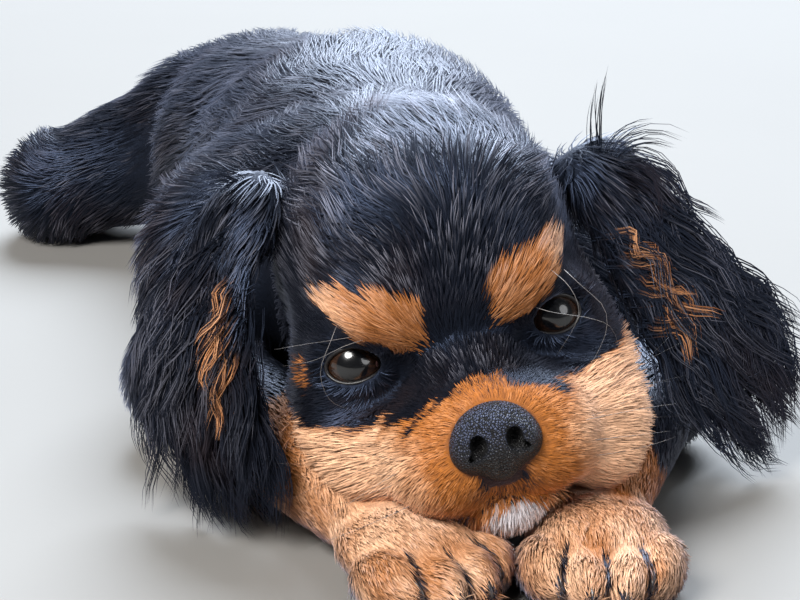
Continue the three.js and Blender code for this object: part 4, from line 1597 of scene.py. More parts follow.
@dataclass(frozen=True)
class IrisFinish(Finish):
    """The eyeball: black pupil, streaked dark brown iris with a darker rim, dim white beyond."""

    pupil: Colour = (0.0015, 0.0015, 0.002, 1)
    iris: Colour = (0.011, 0.0048, 0.0025, 1)
    iris_light: Colour = (0.034, 0.014, 0.0065, 1)
    rim: Colour = (0.003, 0.0022, 0.002, 1)
    white: Colour = (0.10, 0.075, 0.07, 1)
    pupil_share: float = 0.46
    iris_share: float = 0.82

    def paint(self, board: Board, groups: Groups) -> None:
        """Fills the material's board. The mask gaze holds distance and way from the look's axis."""
        reach, cosine, sine, _ = board.mask("gaze")
        polar = board.node("CombineXYZ", {0: cosine, 1: sine, 2: board.times(reach, 0.25)}).outputs[0]
        streaks = board.noise(polar, 14.0, 4.0, 0.7)
        colour = board.blend(board.span(streaks, 0.35, 0.7), self.iris, self.iris_light)
        pupil, iris = self.pupil_share, self.iris_share
        colour = board.blend(board.span(reach, pupil - 0.02, pupil + 0.03), self.pupil, colour)
        colour = board.blend(board.span(reach, iris - 0.13, iris - 0.02), colour, self.rim)
        colour = board.blend(board.span(reach, iris, iris + 0.05), colour, self.white)
        self.close(board, colour, 0.25, streaks)


@dataclass(frozen=True)
class FloorFinish(Finish):
    """The pale studio floor."""

    pale: Colour = (0.198, 0.190, 0.178, 1)
    paler: Colour = (0.216, 0.208, 0.196, 1)

    def paint(self, board: Board, groups: Groups) -> None:
        """Fills the material's board."""
        mottle = self.group(board, groups.mottle, Scale=6.0, Grain=300.0)
        colour = board.blend(mottle.outputs["Patches"], self.pale, self.paler)
        self.close(board, colour, 0.75, mottle.outputs["Grain"])


@dataclass
class Wardrobe:
    """Every material of the scene."""

    groups: Groups = field(default_factory=Groups)

    def __post_init__(self) -> None:
        """Makes the materials."""
        hair = (
            ("Specular IOR Level", 0.35), ("Specular Tint", (0.45, 0.60, 1.0, 1)), ("Sheen Weight", 0.24),
            ("Sheen Roughness", 0.38), ("Sheen Tint", (0.62, 0.70, 1.0, 1)),
        )
        wet = (("Coat Weight", 1.0), ("Coat Roughness", 0.02), ("IOR", 1.38))
        moist = (("Coat Weight", 0.25), ("Coat Roughness", 0.2), ("Specular IOR Level", 0.3))
        shiny = (("Coat Weight", 0.8), ("Coat Roughness", 0.1))
        pad_tones = (0.010, 0.008, 0.009, 1), (0.050, 0.038, 0.040, 1)
        lid_tones = (0.003, 0.0026, 0.003, 1), (0.010, 0.009, 0.010, 1)
        haw_tones = (0.07, 0.030, 0.028, 1), (0.20, 0.10, 0.095, 1)
        claw_tones = (0.012, 0.010, 0.010, 1), (0.06, 0.045, 0.04, 1)
        dark_tones = (0.014, 0.011, 0.010, 1), (0.05, 0.04, 0.035, 1)
        pale_tones = (0.16, 0.15, 0.15, 1), (0.28, 0.26, 0.25, 1)
        finishes = {
            "coat": CoatFinish("coat", hair, bump=0.15, relief=0.0002),
            "skin": CoatFinish("skin", hair, 0.6, 0.0005, roughness=0.6, values=(("Root_Shade", 0.35),)),
            "nose": LeatherFinish("nose_leather", (("Specular IOR Level", 0.40),), 0.75, 0.00035),
            "pad": LeatherFinish("pad_leather", (), 0.7, 0.0004, *pad_tones, cells=900.0, roughness=0.55),
            "lid": PlainFinish("lid", moist, 0.3, 0.0002, *lid_tones, roughness=0.42, patches=500.0),
            "haw": PlainFinish("haw", shiny, 0.2, 0.0001, *haw_tones, roughness=0.35, patches=900.0),
            "claw": PlainFinish("claw", (("Coat Weight", 0.3),), 0.2, 0.0001, *claw_tones, patches=700.0),
            "whisker": PlainFinish("whisker", (), 0.1, 0.0001, *dark_tones, 0.35, patches=120.0),
            "pale_whisker": PlainFinish("pale_whisker", (), 0.1, 0.0001, *pale_tones, 0.35, patches=120.0),
            "eye": IrisFinish("eyeball", wet, bump=0.1, relief=0.0001),
            "floor": FloorFinish("floor", (), bump=0.1, relief=0.0002),
        }
        self.made = {name: finish.material(self.groups) for name, finish in finishes.items()}

    def __getitem__(self, name: str) -> bpy.types.Material:
        """The material of that name."""
        return self.made[name]


# The puppy, piece by piece


@dataclass
class Skin:
    """One skin over the whole body, drawn in under the solids by the depth of the coat."""

    anatomy: Anatomy
    markings: Markings
    flesh: tuple[str, ...] = (
        "head", "lower_jaw", "neck", "torso", "tail", "ear_right", "ear_left",
        "foreleg_right", "foreleg_left", "forepaw_right", "forepaw_left",
        "hindleg_right", "hindleg_left", "hindpaw_right", "hindpaw_left",
    )
    across: tuple[Span, ...] = ((-146, -56, 2.4), (-56, 52, 1.0), (52, 92, 1.8))
    back: tuple[Span, ...] = ((-58, 26, 1.0), (26, 84, 1.5), (84, 362, 2.6))
    up: tuple[Span, ...] = ((-2, 78, 1.0), (78, 114, 1.5))
    settle: float = 0.8

    def __post_init__(self) -> None:
        """Nets the skin and lets its points settle on the form."""
        grid = Grid.spaced(self.across, self.back, self.up)
        points, faces = grid.surface(self.anatomy.skin)
        for _ in range(2):
            here, slope = (np.concatenate(part) for part in zip(*batched(self.anatomy.slope, points)))
            reach = np.clip(here / np.maximum(lengths(slope), 0.5), -self.settle, self.settle)
            points = points - unit(slope) * reach[:, None]
        keep_above(points)
        self.points, self.faces = points, faces
        self.normals = point_normals(points, faces)

    def build(self, bench: Bench, wardrobe: Wardrobe) -> None:
        """Sets the skin down."""
        strand = np.tile([0.3, 0.5, 0.0, 0.0], (len(self.points), 1))
        masks = {"marks": evaluated(self.markings.at, self.points), "strand": strand}
        draft = Draft(self.points, [self.faces], masks)
        bench.piece("skin", draft, wardrobe["skin"], Slot.BLACK, self.flesh)


@dataclass(frozen=True)
class Nose:
    """The nose leather, in the head's frame."""

    leather: tuple[Form, ...] = (
        Ball((0, -36.3, -10.0), (9.6, 6.6, 7.9)),
        Ball((-5.6, -38.2, -11.8), (4.9, 4.6, 4.9)),
        Ball((5.6, -38.2, -11.8), (4.9, 4.6, 4.9)),
        Ball((0, -39.3, -15.0), (4.4, 3.4, 4.6)),
    )
    nostril: Ball = Ball((4.2, -43.5, -9.4), (2.1, 5.2, 2.7))
    slit: Limb = Limb((5.0, -43.0, -11.2), 1.0, (9.0, -39.5, -12.9), 0.5)
    groove: Limb = Limb((0, -44.0, -11.6), 0.6, (0, -42.2, -19.5), 0.7)
    join: float = 2.6
    pace: float = 0.36

    def form(self, q: Points) -> Values:
        """Distance to the leather, with nostrils and the groove below them."""
        total = self.outline(q)
        mirrored = q * np.array([-1.0, 1.0, 1.0])
        for side in (q, mirrored):
            total = carved(total, self.nostril(side), 0.9)
            total = carved(total, self.slit(side), 0.7)
        return carved(total, self.groove(q), 0.8)

    def outline(self, q: Points) -> Values:
        """Distance to the leather without its openings."""
        return Fused(self.leather, self.join)(q)

    def build(self, bench: Bench, wardrobe: Wardrobe, head: Head) -> None:
        """Sets the nose down."""
        grid = Grid.spaced(((-12, 12, self.pace),), ((-46, -28, self.pace),), ((-22, 0, self.pace),))
        points, faces = grid.surface(self.form)
        # Points deep in the nostrils, the slits and the groove get painted shade.
        hollow = ramp(self.outline(points), -0.35, -1.6)
        # The upper part of the nose, where the sky sheen is painted.
        raised = ramp(points[:, 2], -14.0, -4.0)
        none = np.zeros(len(points))
        masks = {"leather": np.stack([hollow, raised, none, none], -1)}
        draft = Draft(points, [faces], masks).laid(head.placing)
        bench.piece("nose_leather", draft, wardrobe["nose"], Slot.NOSE, ("nose",))


@dataclass(frozen=True)
class EyeMaker:
    """Builds one eye: the ball with its cornea, the rims of its lids and the haw in its inner corner."""

    eye: Eye
    rings: int = 44
    around: int = 72
    bulge: float = 0.5
    rim_thickness: Range = (0.36, 0.46)  # below and above
    rim_proud: float = 0.5
    rim_steps: int = 96

    def ball(self, head: Head) -> Draft:
        """The eyeball, with the mask gaze for its material."""
        angle = np.linspace(0.02, math.pi - 0.02, self.rings)
        radius = self.eye.radius + self.bulge * ramp(angle, 0.85, 0.15)
        line = np.zeros((self.rings, 3))
        line[:, 1] = -radius * np.cos(angle)
        size = radius * np.sin(angle)
        draft = swept(line, ACROSS, size, size, self.around)
        x, y, z = draft.points.T
        reach = np.hypot(x, z)
        share = np.where(y < 0, reach / self.eye.radius, 1.0)
        way = np.stack([x, z], -1) / np.maximum(reach, 1e-6)[:, None]
        draft.masks["gaze"] = np.concatenate([share[:, None], way * 0.5 + 0.5, np.ones((len(x), 1))], 1)
        return draft.laid(self.eye.placing, head.placing)

    def rims(self, head: Head) -> Draft:
        """The dark moist rims of both lids as one ring, thicker above."""
        t = np.linspace(0, 2 * math.pi, self.rim_steps, endpoint=False)
        middle = self.eye.rim(t, self.rim_proud)
        out = unit(middle - self.eye.centre)
        size = mixed(*self.rim_thickness, ramp(np.sin(t), -0.3, 0.5))
        return swept(middle, out, size * 1.25, size, 12, ring=True).laid(head.placing)

    def haw(self, head: Head) -> Draft:
        """The fold of pink skin in the inner corner, half behind the rim."""
        angle = np.linspace(0.1, math.pi - 0.1, 12)
        corner = -self.eye.side.value * (self.eye.across - 1.5)
        line = np.stack([np.full(12, corner), np.full(12, -4.9), 1.9 * np.cos(angle) - 0.5], -1)
        size = np.sin(angle)
        return swept(line, ACROSS, size, 1.25 * size, 16).laid(self.eye.placing, head.placing)

    def build(self, bench: Bench, wardrobe: Wardrobe, head: Head) -> None:
        """Sets the eye down."""
        word = self.eye.side.word
        bench.piece(f"eyeball_{word}", self.ball(head), wardrobe["eye"], Slot.EYE, (f"eye_{word}",))
        bench.piece(f"eyelid_rim_{word}", self.rims(head), wardrobe["lid"], Slot.NOSE)
        bench.piece(f"haw_{word}", self.haw(head), wardrobe["haw"], Slot.NOSE)


@dataclass
class Coat:
    """The short coat: thin tufts over the whole skin, lying along it and drawn together in clumps."""

    anatomy: Anatomy
    markings: Markings
    skin: Skin
    nose: Nose
    seed: int = 902
    clump: int = 8
    pull: Range = (0.12, 0.46)  # in the shortest and in the longest coat
    stray: float = 0.13
    flatten: float = 0.42
    spread: Vec = (0.72, 1.18, 1.3)  # shortest, longest and steepest tuft beside the mean one
    steps: tuple[float, ...] = (0.0, 0.30, 0.62, 1.0)
    gather: tuple[float, ...] = (0.0, 0.25, 0.6, 1.0)  # how much of the pull each step feels
    bends: tuple[float, ...] = (0.0, 0.9, 0.4, -0.9)
    taper: Vec = (0.85, 1.0, 0.85)
    lip: Ball = Ball((0.0, -39.0, -19.5), (4.2, 6.0, 2.6))  # the bare lip below the nose
    touching: float = 1.4  # skin this low lies on the floor and has no coat
    underside: float = 12.0  # nor has skin that faces down and is lower than this
    lid_bare: Range = (0.55, 0.15)  # how far from the lids' rims roots and tips keep
    swing: Range = (1.1, 0.25)  # of the wave that neighbours share, and of each tuft
    sunk: Range = (0.12, 0.03)  # how deep roots sit, and how much deeper for each millimetre of length
    seen_at: float = 0.55  # where along a tuft its marking is read
    dither: float = 0.22
    muzzle_reach: float = 27.0
    crown_above: float = 16.0
    crown_behind: float = -4.0
    face_until: float = 10.0
    shoulders_until: float = 118.0
    ribs_until: float = 190.0
    short: tuple[int, ...] = (0, 2, 3)  # the steps that tufts keep but on the crown

    def sown(self, rng: Random) -> tuple[Points, Points]:
        """Roots spread over the skin, closer where the coat is short.

        Args:
            rng: Where the random draws come from.

        Returns:
            The roots and the skin's normals there.
        """
        points, faces, normals = self.skin.points, self.skin.faces, self.skin.normals
        corner = points[faces]
        middle = corner.mean(1)
        area = lengths(np.cross(corner[:, 2] - corner[:, 0], corner[:, 3] - corner[:, 1])) / 2
        facing = normals[faces].mean(1)
        growth = self._growth(middle)
        wanted = area * growth.cover / (growth.length * growth.width * 0.5)
        height = middle[:, 2]
        hidden = (height < self.touching) | ((facing[:, 2] < -0.7) & (height < self.underside))
        q = self.anatomy.head.placing.inward(middle)
        bare = (self.nose.outline(q) < 0.1) | (self.lip(q) < 0)
        for eye in self.anatomy.head.eyes:
            bare |= (lengths(q - eye.centre) < eye.radius + 3.0) & (eye.opening(q) < self.lid_bare[0])
        wanted[hidden | bare] = 0.0
        count = np.floor(wanted + rng.random(len(wanted))).astype(int)
        face = np.repeat(np.arange(len(faces)), count)
        u, v = rng.random((2, len(face), 1))
        c, n = corner[face], normals[faces[face]]
        root = mixed(mixed(c[:, 0], c[:, 1], u), mixed(c[:, 3], c[:, 2], u), v)
        normal = unit(mixed(mixed(n[:, 0], n[:, 1], u), mixed(n[:, 3], n[:, 2], u), v))
        return root, normal

    def _growth(self, p: Points) -> Growth:
        """Growth at many points, a batch at a time."""
        parts, names = batched(self.anatomy.growth, p), ("flow", *BUILD_SIZES)
        return Growth(*(np.concatenate([getattr(part, name) for part in parts]) for name in names))

    def grown(self) -> tuple[Strands, Points]:
        """All the tufts, and their roots in the head's frame."""
        rng = np.random.default_rng(self.seed)
        root, normal = self.sown(rng)
        growth = self._growth(root)
        count = len(root)
        flow = unit(growth.flow - normal * np.einsum("ij,ij->i", growth.flow, normal)[:, None])
        side = np.cross(flow, normal)
        flow = unit(flow + side * rng.normal(0, self.stray, (count, 1)))
        shortest, longest, steepest = self.spread
        length = growth.length * rng.uniform(shortest, longest, count)
        lift = growth.lift * rng.uniform(0.75, steepest, count)
        shared, own = self.swing
        swing = growth.wave * (shared * Wander(20.0, 61)(root) + rng.uniform(-own, own, count))
        sunk = self.sunk[0] + self.sunk[1] * length
        line = np.empty((count, len(self.steps), 3))
        for k, (s, bend) in enumerate(zip(self.steps, self.bends)):
            rise = length * lift * (s - self.flatten * s * s) - sunk * (1 - s)
            place = root + flow * (length * s)[:, None] + normal * rise[:, None]
            line[:, k] = place + side * (swing * bend)[:, None]
        leader = self._clumped(line, length, rng)
        keep_above(line, FLOOR_GAP + 0.1)
        width = (growth.width * rng.uniform(0.8, 1.2, count))[:, None] * np.array(self.taper)
        marks = evaluated(self.markings.at, root + flow * (length * self.seen_at)[:, None])
        dither = rng.uniform(-self.dither, self.dither, count)
        for mask in (0, 2):
            marks[:, mask] = ramp(marks[:, mask] + dither, 0.3, 0.7)
        q = self.anatomy.head.placing.inward(root)
        chance = rng.random(count)
        strands = Strands(line, width, normal, marks, mixed(chance, chance[leader], 0.5))
        keep = self._clear_of_face(line)
        return strands.picked(keep), q[keep]

    def _clumped(self, line: Points, length: Values, rng: Random) -> np.ndarray:
        """Draws the tips of neighbours together, most in long hair, and gives each tuft's leader."""
        count = len(line)
        chosen = rng.choice(count, count // self.clump, replace=False)
        tree = KDTree(len(chosen))
        for number, place in zip(chosen, line[chosen, 0]):
            tree.insert(place, number)
        tree.balance()
        leader = np.array([tree.find(place)[1] for place in line[:, 0]])
        pull = (mixed(*self.pull, ramp(length, 5, 15)) * rng.uniform(0.4, 1.4, count))[:, None]
        for k, share in enumerate(self.gather):
            line[:, k] += (line[leader, k] - line[:, k]) * pull * share
        return leader

    def _clear_of_face(self, line: Points) -> np.ndarray:
        """Which tufts keep out of the eyes and off the nose."""
        keep = np.ones(len(line), bool)
        for k in range(1, len(self.steps)):
            q = self.anatomy.head.placing.inward(line[:, k])
            keep &= self.nose.outline(q) > 0.05
            for eye in self.anatomy.head.eyes:
                near = lengths(q - eye.centre) < eye.radius + 6.0
                keep &= ~(near & (eye.opening(q) < self.lid_bare[1]))
        return keep

    def build(self, bench: Bench, wardrobe: Wardrobe) -> None:
        """Sets the coat down zone by zone, in pieces that stay under the limit."""
        strands, q = self.grown()
        p = strands.line[:, 0]
        names, shares = self.anatomy.shares(p)
        owner = np.array(names)[shares.argmax(0)]
        headed = (owner == "head") | np.char.startswith(owner, "ear")
        muzzle = headed & (self.anatomy.head.from_nose(q) < self.muzzle_reach)
        crown = headed & ~muzzle & (q[:, 2] > self.crown_above) & (q[:, 1] > self.crown_behind)
        face = headed & ~muzzle & ~crown & (q[:, 1] < self.face_until)
        nape = headed & ~muzzle & ~crown & ~face
        low = ~np.char.endswith(owner, "upper")
        fore, hind = (low & np.char.startswith(owner, word) for word in ("foreleg", "hindleg"))
        trunk = ~headed & ~fore & ~hind
        head_shell = Shell((0, 24, 50), (46, 60, 46))
        shoulders = trunk & (p[:, 1] < self.shoulders_until)
        hips = trunk & (p[:, 1] >= self.ribs_until)
        zones = {
            "muzzle": (muzzle, Shell((2, -14, 38), (24, 26, 22)), Slot.TAN),
            "face": (face, head_shell, Slot.BLACK),
            "crown": (crown, head_shell, Slot.BLACK),
            "nape": (nape, head_shell, Slot.BLACK),
            "forelegs": (fore, Shell((0, 20, 12), (60, 60, 14)), Slot.TAN),
            "hindlegs": (hind, Shell((-60, 270, 14), (75, 60, 16)), Slot.TAN),
            "shoulders": (shoulders, Shell((-20, 80, 36), (58, 60, 48)), Slot.BLACK),
            "ribs": (trunk & ~shoulders & ~hips, Shell((-28, 152, 36), (56, 50, 50)), Slot.BLACK),
            "hips": (hips, Shell((-60, 240, 30), (66, 90, 44)), Slot.BLACK),
        }
        for name, (chosen, shell, slot) in zones.items():
            zone = strands.picked(np.nonzero(chosen)[0], None if name == "crown" else self.short)
            parts = max(1, math.ceil(len(zone.line) * zone.triangles_each / TRIANGLE_LIMIT))
            for k in range(parts):
                draft = zone.picked(np.arange(k, len(zone.line), parts)).draft(shell)
                bench.piece(f"coat_{name}_{k + 1}", draft, wardrobe["coat"], slot)


@dataclass
class Growing:
    """How long hair grows from its roots: step by step, sinking under its weight and waving."""

    anatomy: Anatomy
    steps: int = 7
    clear: float = 0.5  # how far hairs keep from the skin
    push: float = 2.0  # how far a step moves them out at most

    def lines(self, root: Points, start: Points, length: Values, sink: Values, curl: Points) -> Points:
        """Middle lines of hairs.

        Args:
            root: Where each hair starts.
            start: The way it sets out.
            length: How long it is.
            sink: How far its weight turns it down over its whole length.
            curl: How its heading turns over its whole length, besides.

        Returns:
            The points of each line.
        """
        line = np.empty((len(root), self.steps + 1, 3))
        line[:, 0] = root
        heading = unit(start)
        place = root.copy()
        for k in range(self.steps):
            heading = unit(heading + (curl - UP * sink[:, None]) / self.steps)
            place = place + heading * (length / self.steps)[:, None]
            here, slope = self.anatomy.slope(place)
            close = np.maximum(self.clear - here, 0.0)
            place = place + unit(slope) * np.minimum(close, self.push)[:, None]
            keep_above(place, FLOOR_GAP + 0.4)
            line[:, k + 1] = place
        return line

    @staticmethod
    def waved(line: Points, side: Points, size: Values, turns: Values, phase: Values) -> Points:
        """The lines with a wave from side to side that grows towards the tips."""
        s = np.linspace(0, 1, line.shape[1])[None, :]
        size, turns, phase = size[:, None], turns[:, None], phase[:, None]
        swing = size * s**0.7 * (np.sin(phase + 2 * math.pi * turns * s) - np.sin(phase) * (1 - s))
        return line + side[:, None, :] * swing[..., None]

    @staticmethod
    def split(
        line: Points, out: Points, hairs: int, spread: float | Values, together: float, rng: Random
    ) -> tuple[Points, np.ndarray]:
        """Splits each lock into hairs that start apart and meet towards the tip.

        Args:
            line: The middle line of each lock.
            out: The way each lock faces.
            hairs: How many hairs a lock has.
            spread: How far from the middle they start, in millimetres, for all or for each lock.
            together: How much of that is gone at the tip.
            rng: Where the random draws come from.

        Returns:
            The hairs' lines, and the number of the lock of each.
        """
        lock = np.repeat(np.arange(len(line)), hairs)
        ahead = unit(line[:, -1] - line[:, 0])
        side = unit(np.cross(ahead, out))
        s = np.linspace(0, 1, line.shape[1])
        count = len(lock)
        wide = np.broadcast_to(spread, len(line))[lock][:, None]
        aside, proud = rng.normal(0, 1.0, (2, count, 1)) * wide * np.array([1.0, 0.4])[:, None, None]
        off = (aside * side[lock] + proud * out[lock])[:, None]
        closing = (1.0 - together * s**0.8)[None, :, None]
        swing = np.sin(2 * math.pi * (s[None] * rng.uniform(0.5, 1.3, (count, 1)) + rng.random((count, 1))))
        frizz = rng.normal(0, 0.3, (count, 1, 3)) * (swing * s**0.7)[..., None]
        hair = line[lock] + off * closing + frizz
        shrink = rng.uniform(0.0, 0.22, (count, 1, 1))
        hair = hair[:, :1] + (hair - hair[:, :1]) * (1 - shrink)
        keep_above(hair, FLOOR_GAP + 0.2)
        return hair, lock

    @staticmethod
    def bladed(
        hair: Points, out: Points, marks: Points, taper: Values, vary: Range, rng: Random
    ) -> Strands:
        """Hairs as strands of the widths in taper, each varied between the two shares."""
        width = taper[None] * rng.uniform(*vary, (len(hair), 1))
        return Strands(hair, width, out, marks, rng.random(len(hair)), 0.5)


@dataclass
class EarLocks:
    """The long silky hair of one ear, which sweeps out from the head, falls and curls back."""

    ear: Ear
    growing: Growing
    seed: int
    locks: int = 180
    hairs: int = 17
    golden: int = 17
    inner_share: float = 0.14
    length: Range = (25.0, 38.0)
    golden_length: float = 0.62  # beside the others
    width: float = 0.34
    spread: float = 2.0
    golden_spread: float = 1.1
    together: float = 0.45  # how much of the spread is gone at a lock's tip
    cup: float = 3.0  # how far the leather's edges curve in
    curled_share: float = 0.55  # of the locks on the ear's back edge
    wave: Range = (1.3, 3.8)
    turns: Range = (0.8, 1.6)

    def strands(self) -> Strands:
        """The ear's hair, from the root of the leather to its end, on both faces."""
        rng = np.random.default_rng(self.seed)
        count = self.locks
        t = np.sqrt(rng.uniform(0.0, 1.0, count)) * 0.96
        front = rng.uniform(-1.0, 1.0, count)
        side = self.ear.side.value
        inner = rng.random(count) < self.inner_share
        begin, end, golden_swing = self.ear.golden
        golden = np.arange(count) < self.golden
        inner &= ~golden
        t[golden] = np.linspace(begin, end, self.golden)
        front[golden] = rng.uniform(0.75, 1.0, self.golden)
        middle, along, across, out = self.ear.frames(t)
        sweep = across * side
        outward = np.where(inner, -1.0, 1.0)
        wide = self.ear.half_width(t)
        proud = outward + 1.6 * golden - self.cup * front**2
        root = middle - sweep * (front * wide * 0.92)[:, None] + out * proud[:, None]
        to_face = ~inner & ~golden & (front > 0.3) & (t > 0.45)
        curled = ~inner & (front < -0.3) & (t > 0.3) & (rng.random(count) < self.curled_share)
        swing = (0.75 * (1 - t) + 0.2) * rng.uniform(0.7, 1.2, count)
        swing = np.select([golden, to_face, curled], [golden_swing, -0.55, swing + 0.5], swing)
        fall = np.select([golden, curled], [0.75, 0.6], 1.0)
        lift = outward * rng.uniform(0.08, 0.30, count) + 0.18 * golden
        start = along * fall[:, None] + sweep * swing[:, None] + out * lift[:, None]
        length = rng.uniform(*self.length, count) * np.where(golden, self.golden_length, 1.0) - 3.0 * curled
        sink = rng.uniform(0.1, 0.6, count) + 0.3 * curled
        bend = np.select([golden, to_face, curled], [-0.9, 0.5, -1.9], -0.55) * rng.uniform(0.6, 1.3, count)
        line = self.growing.lines(root, start, length, sink, sweep * bend[:, None])
        size, turns = rng.uniform(*self.wave, count), rng.uniform(*self.turns, count)
        line = self.growing.waved(line, across, size, turns, rng.uniform(0, 2 * math.pi, count))
        spread = np.where(golden, self.golden_spread, self.spread)
        hair, lock = self.growing.split(line, out, self.hairs, spread, self.together, rng)
        chance = rng.random(len(hair))
        marks = np.zeros((len(hair), 4))
        marks[:, 0] = golden[lock] * ramp(chance, 0.15, 0.8) * 0.7
        marks[:, 1] = 0.05 + 0.35 * rng.random(len(hair))
        # Light tips on the hair of the ear's upper part: painted sheen.
        marks[:, 3] = (0.35 * ramp(t, 0.9, 0.3))[lock] * (marks[:, 0] < 0.1)
        s = np.linspace(0, 1, hair.shape[1] - 1)
        taper = self.width * (0.8 + 0.4 * np.sin(math.pi * s)) * (1 - 0.35 * s)
        width = taper[None] * rng.uniform(0.7, 1.25, (len(hair), 1))
        return Strands(hair, width, out[lock] * outward[lock][:, None], marks, chance, 0.5, 1.0)

    def wisps(self, hairs: int = 8) -> Strands:
        """The fine hair that stands up from the ear's root and curls over."""
        rng = np.random.default_rng(self.seed + 1)
        s = np.linspace(0, 1, self.growing.steps + 1)
        root = along_curve(self.ear.fall, np.array([0.04]))[0]
        lines = []
        for lean, length, curl in self.ear.wisps:
            angle = np.radians(lean + curl * s * s)
            way = np.stack([np.sin(angle), -0.12 * s, np.cos(angle)], -1)
            lines.append(root + way * (length * s)[:, None])
        line = np.array(lines)
        out = np.tile([0.0, -0.9, 0.4], (len(line), 1))
        hair, lock = self.growing.split(line, out, hairs, 1.6, 0.7, rng)
        taper = self.width * 0.8 * np.array([0.9, 1.0, 1.0, 0.9, 0.8, 0.65, 0.45])
        return self.growing.bladed(hair, out[lock], np.zeros((len(hair), 4)), taper, (0.6, 1.1), rng)

    def build(self, bench: Bench, wardrobe: Wardrobe) -> None:
        """Sets the ear's hair down."""
        word = self.ear.side.word
        together = Strands.together([self.strands(), self.wisps()])
        draft = together.draft(Shell(tuple(np.mean(self.ear.fall, 0)), (24, 24, 34)))
        bench.piece(f"ear_locks_{word}", draft, wardrobe["coat"], Slot.BLACK, (f"ear_{word}",))


@dataclass
class TailPlume:
    """The feathering of the tail, along both sides and over it."""

    anatomy: Anatomy
    growing: Growing
    seed: int = 77
    locks: int = 60
    hairs: int = 12
    length: Range = (15.0, 22.0)
    width: float = 0.5

    def build(self, bench: Bench, wardrobe: Wardrobe) -> None:
        """Sets the plume down."""
        rng = np.random.default_rng(self.seed)
        t = rng.uniform(0.15, 1.0, self.locks)
        bones = self.anatomy.tail_bones
        ahead = curve_way(bones, t, 0.03)
        around = rng.uniform(-0.2, 1.2, self.locks) * math.pi
        side = unit(np.cross(ahead, UP))
        out = side * np.cos(around)[:, None] + np.cross(side, ahead) * np.sin(around)[:, None]
        radius = np.interp(t, (0, 0.5, 1), self.anatomy.tail_radii) - 2.4
        root = along_curve(bones, t) + out * radius[:, None]
        length = rng.uniform(*self.length, self.locks) * (1.0 - 0.25 * t)
        sink, curl = np.full(self.locks, 0.25), np.zeros((self.locks, 3))
        line = self.growing.lines(root, ahead + out * 0.5, length, sink, curl)
        size, turns = rng.uniform(0.4, 1.2, self.locks), rng.uniform(0.5, 1.0, self.locks)
        line = self.growing.waved(line, side, size, turns, rng.uniform(0, 6, self.locks))
        hair, lock = self.growing.split(line, out, self.hairs, 1.6, 0.6, rng)
        marks = np.zeros((len(hair), 4))
        marks[:, 0] = (ramp(np.sin(around), 0.1, -0.2) * ramp(t, 0.6, 0.35))[lock] * 0.9
        marks[:, 1] = 0.4
        taper = self.width * np.array([0.9, 1.0, 1.0, 0.95, 0.85, 0.7, 0.45])
        strands = self.growing.bladed(hair, out[lock], marks, taper, (0.7, 1.2), rng)
        draft = strands.draft(Shell((-67, 300, 18), (22, 60, 20)))
        bench.piece("tail_plume", draft, wardrobe["coat"], Slot.BLACK, ("tail",))


@dataclass(frozen=True)
class PawMaker:
    """Builds what is bare on a paw: the claws and the pads."""

    paw: Paw
    name: str
    claw_from: Vec = (0, -7.0, 2.6)
    claw_length: float = 4.8
    claw_width: float = 1.8
    rings: int = 8

    def claws(self) -> Draft:
        """Four curved claws."""
        s = np.linspace(0, 1, self.rings)
        angle = 0.25 + 1.0 * s
        step = np.stack([np.zeros_like(s), -np.cos(angle), -np.sin(angle)], -1)
        middle = np.array(self.claw_from) + np.cumsum(step * self.claw_length / (self.rings - 1), 0)
        size = self.claw_width / 2 * np.sqrt(np.maximum(1.0 - s**1.6, 0.0)) + 0.05
        toes = self.paw.toe_placings()
        claws = [swept(middle, ACROSS, size * 0.75, size, 10).laid(toe) for toe in toes]
        return Draft.joined(claws).laid(self.paw.place)

    def pads(self) -> Draft:
        """The toes' pads and the main pad, on the paw's underside."""
        forms = [Placed(Ball((0, -1.5, -5.6), (4.0, 5.4, 2.4)), toe) for toe in self.paw.toe_placings()]
        heels = (Ball((s * 4.6, -9.5, 1.6), (3.8, 4.6, 2.6)) for s in (-1, 1))
        forms.append(Fused((Ball((0, -13, 1.6), (7.6, 5.4, 2.8)), *heels), 2.0))
        grid = Grid.spaced(((-20, 20, 1.1),), ((-44, 0, 1.1),), ((-3, 7, 1.1),))
        points, faces = grid.surface(lambda q: np.minimum.reduce([form(q) for form in forms]))
        draft = Draft(points, [faces]).laid(self.paw.place)
        keep_above(draft.points)
        return draft

    def build(self, bench: Bench, wardrobe: Wardrobe) -> None:
        """Sets claws and pads down."""
        bench.piece(f"claws_{self.name}", self.claws(), wardrobe["claw"], Slot.NOSE)
        bench.piece(f"pads_{self.name}", self.pads(), wardrobe["pad"], Slot.NOSE)


